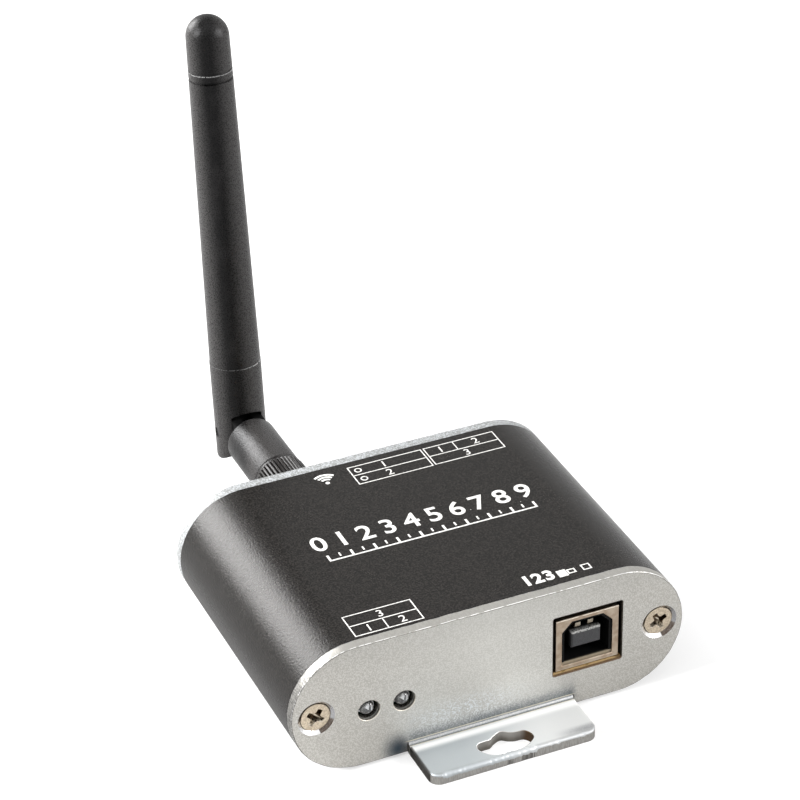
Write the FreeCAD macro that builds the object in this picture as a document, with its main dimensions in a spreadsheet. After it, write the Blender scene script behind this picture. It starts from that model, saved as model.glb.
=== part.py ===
import FreeCAD, Part
import math
import os
import Sketcher
from FreeCAD import Placement, Rotation, Vector

# A small wireless converter: an extruded aluminium box with two sheet end plates whose bent feet carry
# keyholes, a socket and two lamps in the front plate, an aerial and two keys at the rear plate.
# +X is right seen from the socket's side, -Y is the front, +Z is up. Millimetres throughout.
# The origin lies midway between the end plates, on the plane that the feet stand on.

doc = FreeCAD.newDocument("WirelessConverter")
sheet = doc.addObject("Spreadsheet::Sheet", "Sizes")

SIZES = {
    # extruded box
    "shell_width": 73.0,
    "shell_height": 24.6,
    "shell_length": 50.0,
    "shell_wall": 1.6,
    "shell_lift": 0.5,
    "port_edge": 4.5,
    "port_radius": 3.0,
    "port_bore": 1.5,
    "port_gap": 1.2,
    "rail_hold": 1.8,
    "rail_thickness": 1.0,
    "rail_clearance": 0.1,
    # end plates and their feet
    "plate_thickness": 2.0,
    "foot_width": 31.0,
    "foot_depth": 10.0,
    "foot_corner": 2.0,
    "foot_edge": 0.4,
    "bend_radius": 0.6,
    "keyhole_distance": 6.0,
    "keyhole_radius": 2.8,
    "keyhole_slot": 2.1,
    "keyhole_length": 10.4,
    "countersink_radius": 3.25,
    "screw_passage": 1.7,
    # countersunk screws
    "screw_head": 2.65,
    "screw_rim": 0.22,
    "screw_length": 8.0,
    "cross_span": 3.2,
    "cross_width": 0.75,
    "cross_depth": 1.1,
    # main board
    "board_top": 8.25,
    "board_thickness": 1.6,
    "board_side_gap": 2.5,
    "board_end_gap": 0.3,
    "lead_clearance": 0.15,
    "lead_end": 0.8,
    # front socket
    "socket_offset": 18.2,
    "socket_width": 12.0,
    "socket_height": 10.5,
    "socket_depth": 16.0,
    "socket_recess": 0.1,
    "socket_metal": 0.35,
    "socket_side_gap": 0.5,
    "socket_end_gap": 0.75,
    "mouth_width": 9.6,
    "mouth_height": 8.8,
    "mouth_corner": 1.9,
    "cavity_width": 8.5,
    "cavity_height": 7.8,
    "cavity_corner": 1.6,
    "cavity_depth": 9.5,
    "tongue_width": 5.6,
    "tongue_height": 3.2,
    "tongue_setback": 0.5,
    "tongue_edge": 0.3,
    "contact_width": 0.9,
    "contact_thickness": 0.2,
    "contact_pitch": 2.4,
    "contact_setback": 1.9,
    "socket_pin": 0.4,
    "socket_pin_row": 12.5,
    "socket_pin_pitch": 2.0,
    "socket_pin_room": 0.6,
    "shield_leg": 2.0,
    "shield_leg_row": 4.8,
    # front lamps
    "lamp_outer": -22.55,
    "lamp_inner": -16.1,
    "lamp_height": 3.2,
    "lamp_hole": 1.95,
    "lamp_radius": 1.5,
    "lamp_length": 5.3,
    "lamp_flange": 1.8,
    "lamp_flange_depth": 1.0,
    "lamp_setback": 0.15,
    "lamp_lead": 0.25,
    "lamp_lead_pitch": 2.54,
    "lamp_lead_run": 1.8,
    # rear keys
    "key_first": 13.0,
    "key_second": 20.0,
    "key_height": 4.0,
    "key_radius": 1.75,
    "key_fit": 0.05,
    "key_hole": 1.95,
    "key_proud": 0.6,
    "key_travel": 0.25,
    "key_stop": 0.1,
    "key_seat": 2.0,
    "switch_width": 6.0,
    "switch_height": 7.0,
    "switch_depth": 4.3,
    "switch_gap": 0.4,
    # aerial jack
    "aerial_offset": -10.1,
    "aerial_height": 12.8,
    "jack_radius": 3.17,
    "jack_passage": 3.3,
    "jack_reach": 12.5,
    "jack_block_width": 8.0,
    "jack_block_depth": 7.0,
    "jack_block_setback": 1.5,
    "jack_bore": 2.05,
    "jack_contact": 0.64,
    "jack_socket": 0.48,
    "jack_mouth": 1.9,
    "jack_post": 0.5,
    "jack_post_pitch": 2.54,
    "washer_radius": 4.6,
    "washer_thickness": 0.5,
    "washer_notches": 8,
    "washer_notch": 0.6,
    "hex_flats": 8.0,
    "hex_thickness": 2.2,
    "thread_fit": 0.03,
    # aerial plug
    "nut_radius": 5.05,
    "nut_length": 10.0,
    "nut_start": 6.4,
    "nut_wall": 1.8,
    "nut_chamfer": 0.35,
    "flutes": 44,
    "flute_depth": 0.28,
    "flute_width": 0.5,
    "turn_fit": 0.05,
    "ferrule_flange": 3.05,
    "ferrule_neck": 2.5,
    "ferrule_insert": 6.0,
    "pin_radius": 0.45,
    "pin_reach": 2.6,
    "pin_room": 1.2,
    # elbow
    "elbow_radius": 4.83,
    "elbow_length": 14.2,
    "elbow_edge": 0.25,
    "feed_radius": 0.9,
    "feed_passage": 1.1,
    "hinge_distance": 5.4,
    "hinge_pin": 1.0,
    "hinge_fit": 0.04,
    "tongue_end": 3.9,
    "fork_slot": 6.1,
    "fork_play": 0.07,
    "fork_round": 5.2,
    "fork_roof": 5.0,
    "fork_shoulder": 4.15,
    "pin_sink": 0.35,
    # whip
    "whip_lean": 5.0,
    "whip_base_radius": 4.88,
    "whip_seam": 14.3,
    "whip_seam_radius": 4.82,
    "whip_tip_radius": 3.97,
    "whip_reach": 82.9,
    "whip_wall": 1.1,
    "groove_low": 71.2,
    "groove_high": 72.9,
    "groove_width": 0.36,
    "groove_depth": 0.16,
    "spigot_radius": 3.4,
    "spigot_length": 6.0,
    "spigot_fit": 0.1,
    "radiator_radius": 2.2,
    "radiator_wall": 0.35,
    "radiator_length": 24.0,
    "radiator_start": 22.0,
    "radiator_collar": 1.0,
    "whip_wire_room": 8.9,
    # parts on the board
    "module_width": 16.0,
    "module_length": 24.0,
    "module_thickness": 1.0,
    "module_x": -15.0,
    "module_y": -1.5,
    "shield_width": 13.0,
    "shield_length": 13.0,
    "shield_height": 2.0,
    "shield_sheet": 0.25,
    "radio_chip": 6.0,
    "radio_chip_thickness": 0.9,
    "bridge_width": 5.3,
    "bridge_length": 7.2,
    "bridge_thickness": 1.75,
    "bridge_x": 18.2,
    "bridge_gap": 6.9,
    "bridge_leg": 0.3,
    "bridge_leg_reach": 1.2,
    "bridge_leg_pitch": 0.65,
    "bridge_leg_rows": 10,
    "crystal_length": 11.0,
    "crystal_width": 4.6,
    "crystal_height": 3.5,
    "crystal_x": 7.5,
    "crystal_y": 2.5,
    "regulator_width": 6.5,
    "regulator_length": 3.5,
    "regulator_thickness": 1.6,
    "regulator_x": 4.5,
    "regulator_y": -14.0,
    "regulator_leg_thickness": 0.35,
    "regulator_leg_width": 0.7,
    "regulator_leg_reach": 1.4,
    "regulator_leg_pitch": 2.2,
    "regulator_tab": 3.2,
    "capacitor_radius": 2.5,
    "capacitor_height": 5.4,
    "capacitor_x": -5.5,
    "capacitor_y": -17.5,
    "chip_part_length": 2.0,
    "chip_part_width": 1.25,
    "chip_part_height": 0.6,
    "chip_part_pitch": 2.5,
    "chip_parts_in_row": 4,
    "resistor_x": 7.6,
    "resistor_gap": 1.9,
    "ceramic_x": -23.0,
    "ceramic_y": 14.1,
    "capacitor_base_height": 0.6,
}

for row, (alias, number) in enumerate(SIZES.items(), start=1):
    sheet.set(f"A{row}", alias.replace("_", " "))
    sheet.set(f"B{row}", str(number))
    sheet.setAlias(f"B{row}", alias)
doc.recompute()


class Measure:
    """A size that keeps the expression on the sheet's cells beside its value."""

    def __init__(self, text, value):
        self.text = text
        self.value = float(value)

    def __add__(self, other):
        other = measure(other)
        return Measure(f"({self.text} + {other.text})", self.value + other.value)

    def __sub__(self, other):
        other = measure(other)
        return Measure(f"({self.text} - {other.text})", self.value - other.value)

    def __mul__(self, other):
        other = measure(other)
        return Measure(f"({self.text} * {other.text})", self.value * other.value)

    def __truediv__(self, other):
        other = measure(other)
        return Measure(f"({self.text} / {other.text})", self.value / other.value)

    def __radd__(self, other):
        return measure(other) + self

    def __rsub__(self, other):
        return measure(other) - self

    def __rmul__(self, other):
        return measure(other) * self

    def __neg__(self):
        return Measure(f"(0 - {self.text})", -self.value)


def measure(number):
    """Any number as a Measure."""
    if isinstance(number, Measure):
        return number
    return Measure(f"{number:.6f}", number)


def root(square):
    return Measure(f"sqrt({square.text})", math.sqrt(square.value))


class Cells:
    """The sheet's cells as measures, read by name."""

    def __getattr__(self, alias):
        return Measure(f"Sizes.{alias}", sheet.get(alias))


S = Cells()
PIECES = []

# How near two coordinates count as the same, to find edges
TOUCH = 1e-4


def bind(thing, **properties):
    """Tie properties of a document object to the sheet."""
    for name, size in properties.items():
        thing.setExpression(name, measure(size).text)


def keep(thing, label):
    """Name a finished piece."""
    thing.Label = label
    PIECES.append(thing)
    return thing


# Primitives and booleans

TURNS = {
    "y": Rotation(Vector(1, 0, 0), -90),
    "z": Rotation(),
}


def move(thing, x=0.0, y=0.0, z=0.0):
    """Bind a thing's place, keeping its rotation."""
    for axis, size in zip("xyz", (x, y, z)):
        thing.setExpression(f".Placement.Base.{axis}", measure(size).text)
    return thing


def block(x, y, z):
    """A box from its low and high limit along each axis."""
    thing = doc.addObject("Part::Box", "Block")
    bind(thing, Length=x[1] - x[0], Width=y[1] - y[0], Height=z[1] - z[0])
    return move(thing, x[0], y[0], z[0])


def aim(thing, axis, span, across):
    """Turn a thing that stands on Z to an axis and start it at the span's low end."""
    thing.Placement = Placement(Vector(), TURNS[axis])
    first, second = across
    place = {"y": (first, span[0], second), "z": (first, second, span[0])}
    return move(thing, *place[axis])


def rod(axis, span, across, radius):
    """A cylinder along an axis, between two limits, at the other two coordinates."""
    thing = doc.addObject("Part::Cylinder", "Rod")
    bind(thing, Radius=radius, Height=span[1] - span[0])
    return aim(thing, axis, span, across)


def taper(axis, span, across, low_radius, high_radius):
    """A cone like rod."""
    thing = doc.addObject("Part::Cone", "Taper")
    bind(thing, Radius1=low_radius, Radius2=high_radius, Height=span[1] - span[0])
    return aim(thing, axis, span, across)


def joined(*things):
    if len(things) == 1:
        return things[0]
    thing = doc.addObject("Part::MultiFuse", "Joined")
    thing.Shapes = list(things)
    return thing


def without(base, *tools):
    thing = doc.addObject("Part::Cut", "Cut")
    thing.Base = base
    thing.Tool = joined(*tools)
    return thing


def group(*things):
    """Separate solids that share one piece's name."""
    thing = doc.addObject("Part::Compound", "Group")
    thing.Links = list(things)
    return thing


def ring(axis, span, across, outer, inner):
    return without(rod(axis, span, across, outer), rod(axis, span, across, inner))


# Sketched bodies


def new_body(name):
    return doc.addObject("PartDesign::Body", name)


def plane(body, role):
    return next(feature for feature in body.Origin.OriginFeatures if feature.Role == role)


def sketch_on(body, role, offset=0.0):
    """A sketch on one of the body's origin planes, moved along its normal."""
    sketch = body.newObject("Sketcher::SketchObject", "Sketch")
    sketch.AttachmentSupport = [(plane(body, role), "")]
    sketch.MapMode = "FlatFace"
    sketch.setExpression(".AttachmentOffset.Base.z", measure(offset).text)
    return sketch


def fix(sketch, kind, curve, point, size):
    """Dimension one point of a curve from the sketch's origin."""
    number = sketch.addConstraint(Sketcher.Constraint(kind, -1, 1, curve, point, size.value))
    sketch.setExpression(f"Constraints[{number}]", size.text)


def outline(sketch, corners):
    """A closed outline. A corner is (x, y), or (x, y, (centre_x, centre_y)) where an arc leaves it
    anticlockwise, or (x, y, (centre_x, centre_y), "clockwise")."""
    first = sketch.GeometryCount
    count = len(corners)
    points = [(measure(corner[0]), measure(corner[1])) for corner in corners]
    for index, corner in enumerate(corners):
        start, end = points[index], points[(index + 1) % count]
        if len(corner) == 2:
            sketch.addGeometry(Part.LineSegment(Vector(start[0].value, start[1].value),
                                                Vector(end[0].value, end[1].value)))
            continue
        centre = Vector(measure(corner[2][0]).value, measure(corner[2][1]).value)
        turns_back = len(corner) == 4
        low, high = (end, start) if turns_back else (start, end)
        angle = math.atan2(low[1].value - centre.y, low[0].value - centre.x)
        stop = math.atan2(high[1].value - centre.y, high[0].value - centre.x)
        if stop <= angle:
            stop += 2 * math.pi
        radius = math.hypot(low[0].value - centre.x, low[1].value - centre.y)
        sketch.addGeometry(Part.ArcOfCircle(Part.Circle(centre, Vector(0, 0, 1), radius), angle, stop))
    ends = [(2, 1) if len(corner) == 4 else (1, 2) for corner in corners]
    for index in range(count):
        following = (index + 1) % count
        sketch.addConstraint(Sketcher.Constraint("Coincident", first + index, ends[index][1],
                                                 first + following, ends[following][0]))
    for index, (x, y) in enumerate(points):
        fix(sketch, "DistanceX", first + index, ends[index][0], x)
        fix(sketch, "DistanceY", first + index, ends[index][0], y)
    for index, corner in enumerate(corners):
        if len(corner) == 2:
            continue
        start, end = points[index], points[(index + 1) % count]
        centre_x, centre_y = measure(corner[2][0]), measure(corner[2][1])
        rises = abs(start[1].value - end[1].value) >= abs(start[0].value - end[0].value)
        if rises:
            fix(sketch, "DistanceX", first + index, 3, centre_x)
        else:
            fix(sketch, "DistanceY", first + index, 3, centre_y)


def circle(sketch, x, y, radius):
    x, y, radius = measure(x), measure(y), measure(radius)
    centre = Vector(x.value, y.value)
    index = sketch.addGeometry(Part.Circle(centre, Vector(0, 0, 1), radius.value))
    fix(sketch, "DistanceX", index, 3, x)
    fix(sketch, "DistanceY", index, 3, y)
    number = sketch.addConstraint(Sketcher.Constraint("Radius", index, radius.value))
    sketch.setExpression(f"Constraints[{number}]", radius.text)


def rectangle(sketch, x, y):
    outline(sketch, [(x[0], y[0]), (x[1], y[0]), (x[1], y[1]), (x[0], y[1])])


def feature(body, kind, sketch, name, length, symmetric):
    thing = body.newObject(f"PartDesign::{kind}", name)
    thing.Profile = sketch
    bind(thing, Length=length)
    if symmetric:
        thing.SideType = "Symmetric"
    body.Tip = thing
    doc.recompute()
    return thing


def pad(body, sketch, name, length, symmetric=False):
    return feature(body, "Pad", sketch, name, length, symmetric)


def pocket(body, sketch, name, length):
    """Cut the sketch's outline to both sides, and see that it removed something."""
    before = body.Shape.Volume
    thing = feature(body, "Pocket", sketch, name, length, True)
    if body.Shape.Volume >= before:
        raise RuntimeError(f"{name} of {body.Name} cuts nothing")
    return thing


def revolve(body, sketch, name):
    """Turn an outline in the XZ plane round the body's Z axis."""
    thing = body.newObject("PartDesign::Revolution", name)
    thing.Profile = sketch
    thing.ReferenceAxis = (plane(body, "Z_Axis"), [""])
    thing.Angle = 360.0
    body.Tip = thing
    doc.recompute()
    return thing


def aim_body(body, axis, x=0.0, y=0.0, z=0.0):
    """Set a body that was built on its Z axis along another axis."""
    body.Placement = Placement(Vector(), TURNS[axis])
    return move(body, x, y, z)


# Places that several pieces share

HALF_LENGTH = S.shell_length / 2
FACE = HALF_LENGTH + S.plate_thickness
MIDDLE = S.shell_lift + S.shell_height / 2
ARC_CENTRE = S.shell_width / 2 - S.shell_height / 2
BOARD_BOTTOM = S.board_top - S.board_thickness
BOARD_EDGE = HALF_LENGTH - S.board_end_gap
BOARD_SIDE = S.shell_width / 2 - S.shell_wall - S.board_side_gap
RAIL_REACH = BOARD_SIDE - S.rail_hold
PORT_OFFSET = S.shell_width / 2 - S.port_edge
LEAD_END = BOARD_BOTTOM - S.lead_end
FOOT_END = FACE + S.foot_depth
SOCKET_MIDDLE = S.board_top + S.socket_height / 2
SOCKET_FACE = -(FACE - S.socket_recess)
SOCKET_BACK = SOCKET_FACE + S.socket_depth
LAMP_LEVEL = S.board_top + S.lamp_height
KEY_LEVEL = S.board_top + S.key_height
JACK_END = FACE + S.jack_reach
NUT_START = FACE + S.nut_start
NUT_END = NUT_START + S.nut_length
SHOULDER = NUT_END + S.turn_fit + S.elbow_length
HINGE = SHOULDER + S.hinge_distance
TONGUE_HALF = S.fork_slot / 2 - S.fork_play
AERIAL = (S.aerial_offset, S.aerial_height)
LAMPS = {"outer": S.lamp_outer, "inner": S.lamp_inner}
KEYS = {"reset": S.key_first, "function": S.key_second}


def stadium(sketch, shrink=0.0):
    """The box's round-sided outline, moved inwards by a wall."""
    radius = S.shell_height / 2 - shrink
    top, bottom = MIDDLE + radius, MIDDLE - radius
    right, left = (ARC_CENTRE, MIDDLE), (-ARC_CENTRE, MIDDLE)
    outline(sketch, [(-ARC_CENTRE, bottom), (ARC_CENTRE, bottom, right),
                     (ARC_CENTRE, top), (-ARC_CENTRE, top, left)])


def mirrored(across, side):
    """A span on the right, or its mirror image on the left."""
    return across if side > 0 else (-across[1], -across[0])


# Extruded box with card rails and screw ports


def mid_wall(level):
    """How far out the middle of the box's round side is at a level."""
    radius = S.shell_height / 2 - S.shell_wall / 2
    drop = MIDDLE - level
    return ARC_CENTRE + root(radius * radius - drop * drop)


def enclosure_shell():
    body = new_body("EnclosureShell")
    section = sketch_on(body, "XZ_Plane")
    stadium(section)
    pad(body, section, "Extrusion", S.shell_length, symmetric=True)
    hollow = sketch_on(body, "XZ_Plane")
    stadium(hollow, S.shell_wall)
    pocket(body, hollow, "Hollow", S.shell_length * 2)
    upper_rail = S.board_top + S.rail_clearance
    for side in (1, -1):
        port = sketch_on(body, "XZ_Plane")
        circle(port, PORT_OFFSET * side, MIDDLE, S.port_radius)
        pad(body, port, "ScrewPort", S.shell_length, symmetric=True)
        for low in (BOARD_BOTTOM - S.rail_thickness, upper_rail):
            rail = sketch_on(body, "XZ_Plane")
            across = (RAIL_REACH, mid_wall(low + S.rail_thickness / 2))
            rectangle(rail, mirrored(across, side), (low, low + S.rail_thickness))
            pad(body, rail, "CardRail", S.shell_length, symmetric=True)
    for side in (1, -1):
        bore = sketch_on(body, "XZ_Plane")
        circle(bore, PORT_OFFSET * side, MIDDLE, S.port_bore)
        pocket(body, bore, "ScrewBore", S.shell_length * 2)
        mouth = sketch_on(body, "XZ_Plane")
        across = (PORT_OFFSET - S.port_radius * 2, PORT_OFFSET)
        rectangle(mouth, mirrored(across, side), (MIDDLE - S.port_gap / 2, MIDDLE + S.port_gap / 2))
        pocket(body, mouth, "PortMouth", S.shell_length * 2)
    keep(body, "enclosure_shell")


# End plates: a flat sheet with the box's outline, and a foot bent out of its lower edge


def keyhole(body):
    middle = -(FACE + S.keyhole_distance)
    slot_x = S.keyhole_length / 2 - S.keyhole_slot
    low, high = middle - S.keyhole_slot, middle + S.keyhole_slot
    slot = sketch_on(body, "XY_Plane", S.plate_thickness / 2)
    outline(slot, [(-slot_x, low), (slot_x, low, (slot_x, middle)),
                   (slot_x, high), (-slot_x, high, (-slot_x, middle))])
    pocket(body, slot, "KeyholeSlot", S.plate_thickness * 2)
    hole = sketch_on(body, "XY_Plane", S.plate_thickness / 2)
    circle(hole, 0.0, middle, S.keyhole_radius)
    pocket(body, hole, "KeyholeMiddle", S.plate_thickness * 2)


def worn_edges(body):
    """Round the flat foot's upper edges, the keyhole's too, but not the one at the bend."""
    base = body.Tip
    top = S.plate_thickness.value
    bend = -(FACE + S.bend_radius).value
    names = []
    for number, edge in enumerate(body.Shape.Edges, start=1):
        box = edge.BoundBox
        on_top = abs(box.ZMin - top) < TOUCH and abs(box.ZMax - top) < TOUCH
        if on_top and box.YMin < bend - TOUCH:
            names.append(f"Edge{number}")
    round_off = body.newObject("PartDesign::Fillet", "WornEdges")
    round_off.Base = (base, names)
    bind(round_off, Radius=S.foot_edge)
    body.Tip = round_off
    doc.recompute()


def flat_foot(body):
    edge, bend, end = S.foot_width / 2, -(FACE + S.bend_radius), -FOOT_END
    inner, back = edge - S.foot_corner, end + S.foot_corner
    face = sketch_on(body, "XY_Plane")
    outline(face, [(-inner, end), (inner, end, (inner, back)), (edge, back), (edge, bend),
                   (-edge, bend), (-edge, back, (-inner, back))])
    pad(body, face, "FlatFoot", S.plate_thickness)
    keyhole(body)
    worn_edges(body)


def end_plate(name):
    """A plate as it stands at the front, without the holes that only one plate has."""
    body = new_body(name)
    flat_foot(body)
    half, bend_top = S.foot_width / 2, S.plate_thickness + S.bend_radius
    bend, root_top = -(FACE + S.bend_radius), bend_top + S.bend_radius
    centre = (bend, bend_top)
    fold = sketch_on(body, "YZ_Plane")
    outline(fold, [(bend, 0.0, centre), (-HALF_LENGTH, bend_top), (-HALF_LENGTH, root_top),
                   (-FACE, root_top), (-FACE, bend_top, centre, "clockwise"), (bend, S.plate_thickness)])
    pad(body, fold, "Fold", S.foot_width, symmetric=True)
    radius = S.shell_height / 2
    top, bottom = MIDDLE + radius, MIDDLE - radius
    sheet_outline = sketch_on(body, "XZ_Plane", HALF_LENGTH)
    outline(sheet_outline, [(-ARC_CENTRE, bottom), (-half, bottom), (-half, bend_top), (half, bend_top),
                            (half, bottom), (ARC_CENTRE, bottom, (ARC_CENTRE, MIDDLE)),
                            (ARC_CENTRE, top), (-ARC_CENTRE, top, (-ARC_CENTRE, MIDDLE))])
    pad(body, sheet_outline, "Sheet", S.plate_thickness)
    for side in (1, -1):
        passage = sketch_on(body, "XZ_Plane", HALF_LENGTH + S.plate_thickness / 2)
        circle(passage, PORT_OFFSET * side, MIDDLE, S.screw_passage)
        pocket(body, passage, "ScrewPassage", S.plate_thickness * 2)
        sink = body.newObject("PartDesign::SubtractiveCone", "Countersink")
        bind(sink, Radius1=S.countersink_radius, Radius2=S.screw_passage,
             Height=S.countersink_radius - S.screw_passage)
        sink.Placement = Placement(Vector(), TURNS["y"])
        move(sink, PORT_OFFSET * side, -FACE, MIDDLE)
        body.Tip = sink
        doc.recompute()
    return body


def front_plate():
    body = end_plate("FrontPlate")
    half_width = S.socket_width / 2 + S.socket_side_gap
    half_height = S.socket_height / 2 + S.socket_end_gap
    holes = sketch_on(body, "XZ_Plane", HALF_LENGTH + S.plate_thickness / 2)
    rectangle(holes, (S.socket_offset - half_width, S.socket_offset + half_width),
              (SOCKET_MIDDLE - half_height, SOCKET_MIDDLE + half_height))
    for offset in LAMPS.values():
        circle(holes, offset, LAMP_LEVEL, S.lamp_hole)
    pocket(body, holes, "SocketAndLampHoles", S.plate_thickness * 2)
    keep(body, "front_plate")


def rear_plate():
    """The same plate turned round, so its sketch has X reversed."""
    body = end_plate("RearPlate")
    holes = sketch_on(body, "XZ_Plane", HALF_LENGTH + S.plate_thickness / 2)
    circle(holes, -S.aerial_offset, S.aerial_height, S.jack_passage)
    for offset in KEYS.values():
        circle(holes, -offset, KEY_LEVEL, S.key_hole)
    pocket(body, holes, "JackAndKeyHoles", S.plate_thickness * 2)
    body.Placement = Placement(Vector(), Rotation(Vector(0, 0, 1), 180))
    keep(body, "rear_plate")


# Countersunk screws with a cross recess


def plate_screw(label, side, end):
    """One screw. End is -1 for the front plate, 1 for the rear plate."""
    across = (PORT_OFFSET * side, MIDDLE)
    face = FACE - (S.countersink_radius - S.screw_head - S.screw_rim)
    depth = S.screw_head - S.port_bore
    levels = [face, face - S.screw_rim, face - S.screw_rim - depth, face - S.screw_length]
    spans = [(low, high) if end > 0 else (-high, -low) for high, low in zip(levels, levels[1:])]
    rim = rod("y", spans[0], across, S.screw_head)
    radii = (S.port_bore, S.screw_head) if end > 0 else (S.screw_head, S.port_bore)
    cone = taper("y", spans[1], across, *radii)
    shank = rod("y", spans[2], across, S.port_bore)
    inner, outer = (face - S.cross_depth) * end, (face + S.cross_depth) * end
    y = (inner, outer) if end > 0 else (outer, inner)
    arm, half = S.cross_span / 2, S.cross_width / 2
    flat = block((across[0] - arm, across[0] + arm), y, (MIDDLE - half, MIDDLE + half))
    upright = block((across[0] - half, across[0] + half), y, (MIDDLE - arm, MIDDLE + arm))
    keep(without(joined(rim, cone, shank), flat, upright), label)


# Main board, drilled for every lead


def drill(x, y, radius):
    return rod("z", (LEAD_END, S.board_top + S.lead_end), (x, y), radius + S.lead_clearance)


def socket_pin_places():
    half = S.contact_pitch / 2
    rows = (SOCKET_FACE + S.socket_pin_row, SOCKET_FACE + S.socket_pin_row + S.socket_pin_pitch)
    return [(S.socket_offset + half * side, row) for side in (1, -1) for row in rows]


def shield_legs(room):
    """The two legs that hold the socket's shell in the board, or with room their slots."""
    legs = []
    for side in (1, -1):
        edge = S.socket_offset + S.socket_width / 2 * side
        across = (edge - S.socket_metal, edge) if side > 0 else (edge, edge + S.socket_metal)
        middle = SOCKET_FACE + S.shield_leg_row
        legs.append(block((across[0] - room, across[1] + room),
                          (middle - S.shield_leg / 2 - room, middle + S.shield_leg / 2 + room),
                          (LEAD_END - room, S.board_top + S.socket_metal)))
    return legs


def lamp_lead_places():
    back = -(FACE - S.lamp_setback) + S.lamp_length + S.lamp_lead_run
    half = S.lamp_lead_pitch / 2
    return [(offset + half * side, back) for offset in LAMPS.values() for side in (1, -1)]


def jack_post_places():
    middle = HALF_LENGTH - S.jack_block_setback - S.jack_block_depth / 2
    return [(S.aerial_offset + S.jack_post_pitch * i, middle + S.jack_post_pitch * j)
            for i in (1, -1) for j in (1, -1)]


def main_board():
    slab = block((-BOARD_SIDE, BOARD_SIDE), (-BOARD_EDGE, BOARD_EDGE), (BOARD_BOTTOM, S.board_top))
    drills = [drill(x, y, S.socket_pin) for x, y in socket_pin_places()]
    drills += [drill(x, y, S.lamp_lead * math.sqrt(2)) for x, y in lamp_lead_places()]
    drills += [drill(x, y, S.jack_post) for x, y in jack_post_places()]
    drills += shield_legs(S.lead_clearance)
    keep(without(slab, *drills), "main_board")


# Front socket: folded metal shell, moulded insulator with a tongue, contacts


def arch(sketch, middle, width, height, corner):
    """A rectangle with its two upper corners cut off."""
    x, z = middle
    left, right = x - width / 2, x + width / 2
    low, high = z - height / 2, z + height / 2
    outline(sketch, [(left, low), (right, low), (right, high - corner), (right - corner, high),
                     (left + corner, high), (left, high - corner)])


def socket_body(name, shrink, front, back):
    """A block of the socket's outline, between two distances behind the socket's face."""
    body = new_body(name)
    half, rise = S.socket_width / 2 - shrink, S.socket_height / 2 - shrink
    section = sketch_on(body, "XZ_Plane", -(SOCKET_FACE + (front + back) / 2))
    rectangle(section, (S.socket_offset - half, S.socket_offset + half),
              (SOCKET_MIDDLE - rise, SOCKET_MIDDLE + rise))
    pad(body, section, "Block", back - front, symmetric=True)
    return body


def socket_shell():
    """Folded metal: open behind and, below the pins, at the bottom."""
    body = socket_body("SocketShell", 0.0, 0.0, S.socket_depth)
    inner = S.socket_depth - S.socket_metal
    room = sketch_on(body, "XZ_Plane", -(SOCKET_FACE + S.socket_metal + inner))
    half, rise = S.socket_width / 2 - S.socket_metal, S.socket_height / 2 - S.socket_metal
    rectangle(room, (S.socket_offset - half, S.socket_offset + half),
              (SOCKET_MIDDLE - rise, SOCKET_MIDDLE + rise))
    pocket(body, room, "Room", inner * 2)
    mouth = sketch_on(body, "XZ_Plane", -SOCKET_FACE)
    arch(mouth, (S.socket_offset, SOCKET_MIDDLE), S.mouth_width, S.mouth_height, S.mouth_corner)
    pocket(body, mouth, "Mouth", S.socket_metal * 4)
    floor = sketch_on(body, "XY_Plane", S.board_top)
    half = S.contact_pitch / 2 + S.socket_pin + S.socket_pin_room
    start = SOCKET_FACE + S.socket_pin_row - S.socket_pin - S.socket_pin_room
    rectangle(floor, (S.socket_offset - half, S.socket_offset + half), (start, SOCKET_BACK))
    pocket(body, floor, "PinRoom", S.socket_metal * 4)
    keep(joined(body, *shield_legs(0.0)), "socket_shell")


def socket_insulator():
    """The moulded block, in whose cavity the tongue stands."""
    body = socket_body("SocketInsulator", S.socket_metal, S.socket_metal, S.socket_depth)
    cavity = sketch_on(body, "XZ_Plane", -(SOCKET_FACE + S.socket_metal))
    arch(cavity, (S.socket_offset, SOCKET_MIDDLE), S.cavity_width, S.cavity_height, S.cavity_corner)
    pocket(body, cavity, "Cavity", (S.cavity_depth - S.socket_metal) * 2)
    length = S.cavity_depth - S.tongue_setback
    tongue = sketch_on(body, "XZ_Plane", -(SOCKET_FACE + S.tongue_setback + length / 2))
    half, rise = S.tongue_width / 2, S.tongue_height / 2
    rectangle(tongue, (S.socket_offset - half, S.socket_offset + half),
              (SOCKET_MIDDLE - rise, SOCKET_MIDDLE + rise))
    pad(body, tongue, "Tongue", length, symmetric=True)
    front = (SOCKET_FACE + S.tongue_setback).value
    edges = [f"Edge{number}" for number, edge in enumerate(body.Shape.Edges, start=1)
             if abs(edge.BoundBox.YMin - front) < TOUCH and abs(edge.BoundBox.YMax - front) < TOUCH]
    base = body.Tip
    chamfer = body.newObject("PartDesign::Chamfer", "TongueEdge")
    chamfer.Base = (base, edges)
    bind(chamfer, Size=S.tongue_edge)
    body.Tip = chamfer
    doc.recompute()
    keep(body, "socket_insulator")


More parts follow.
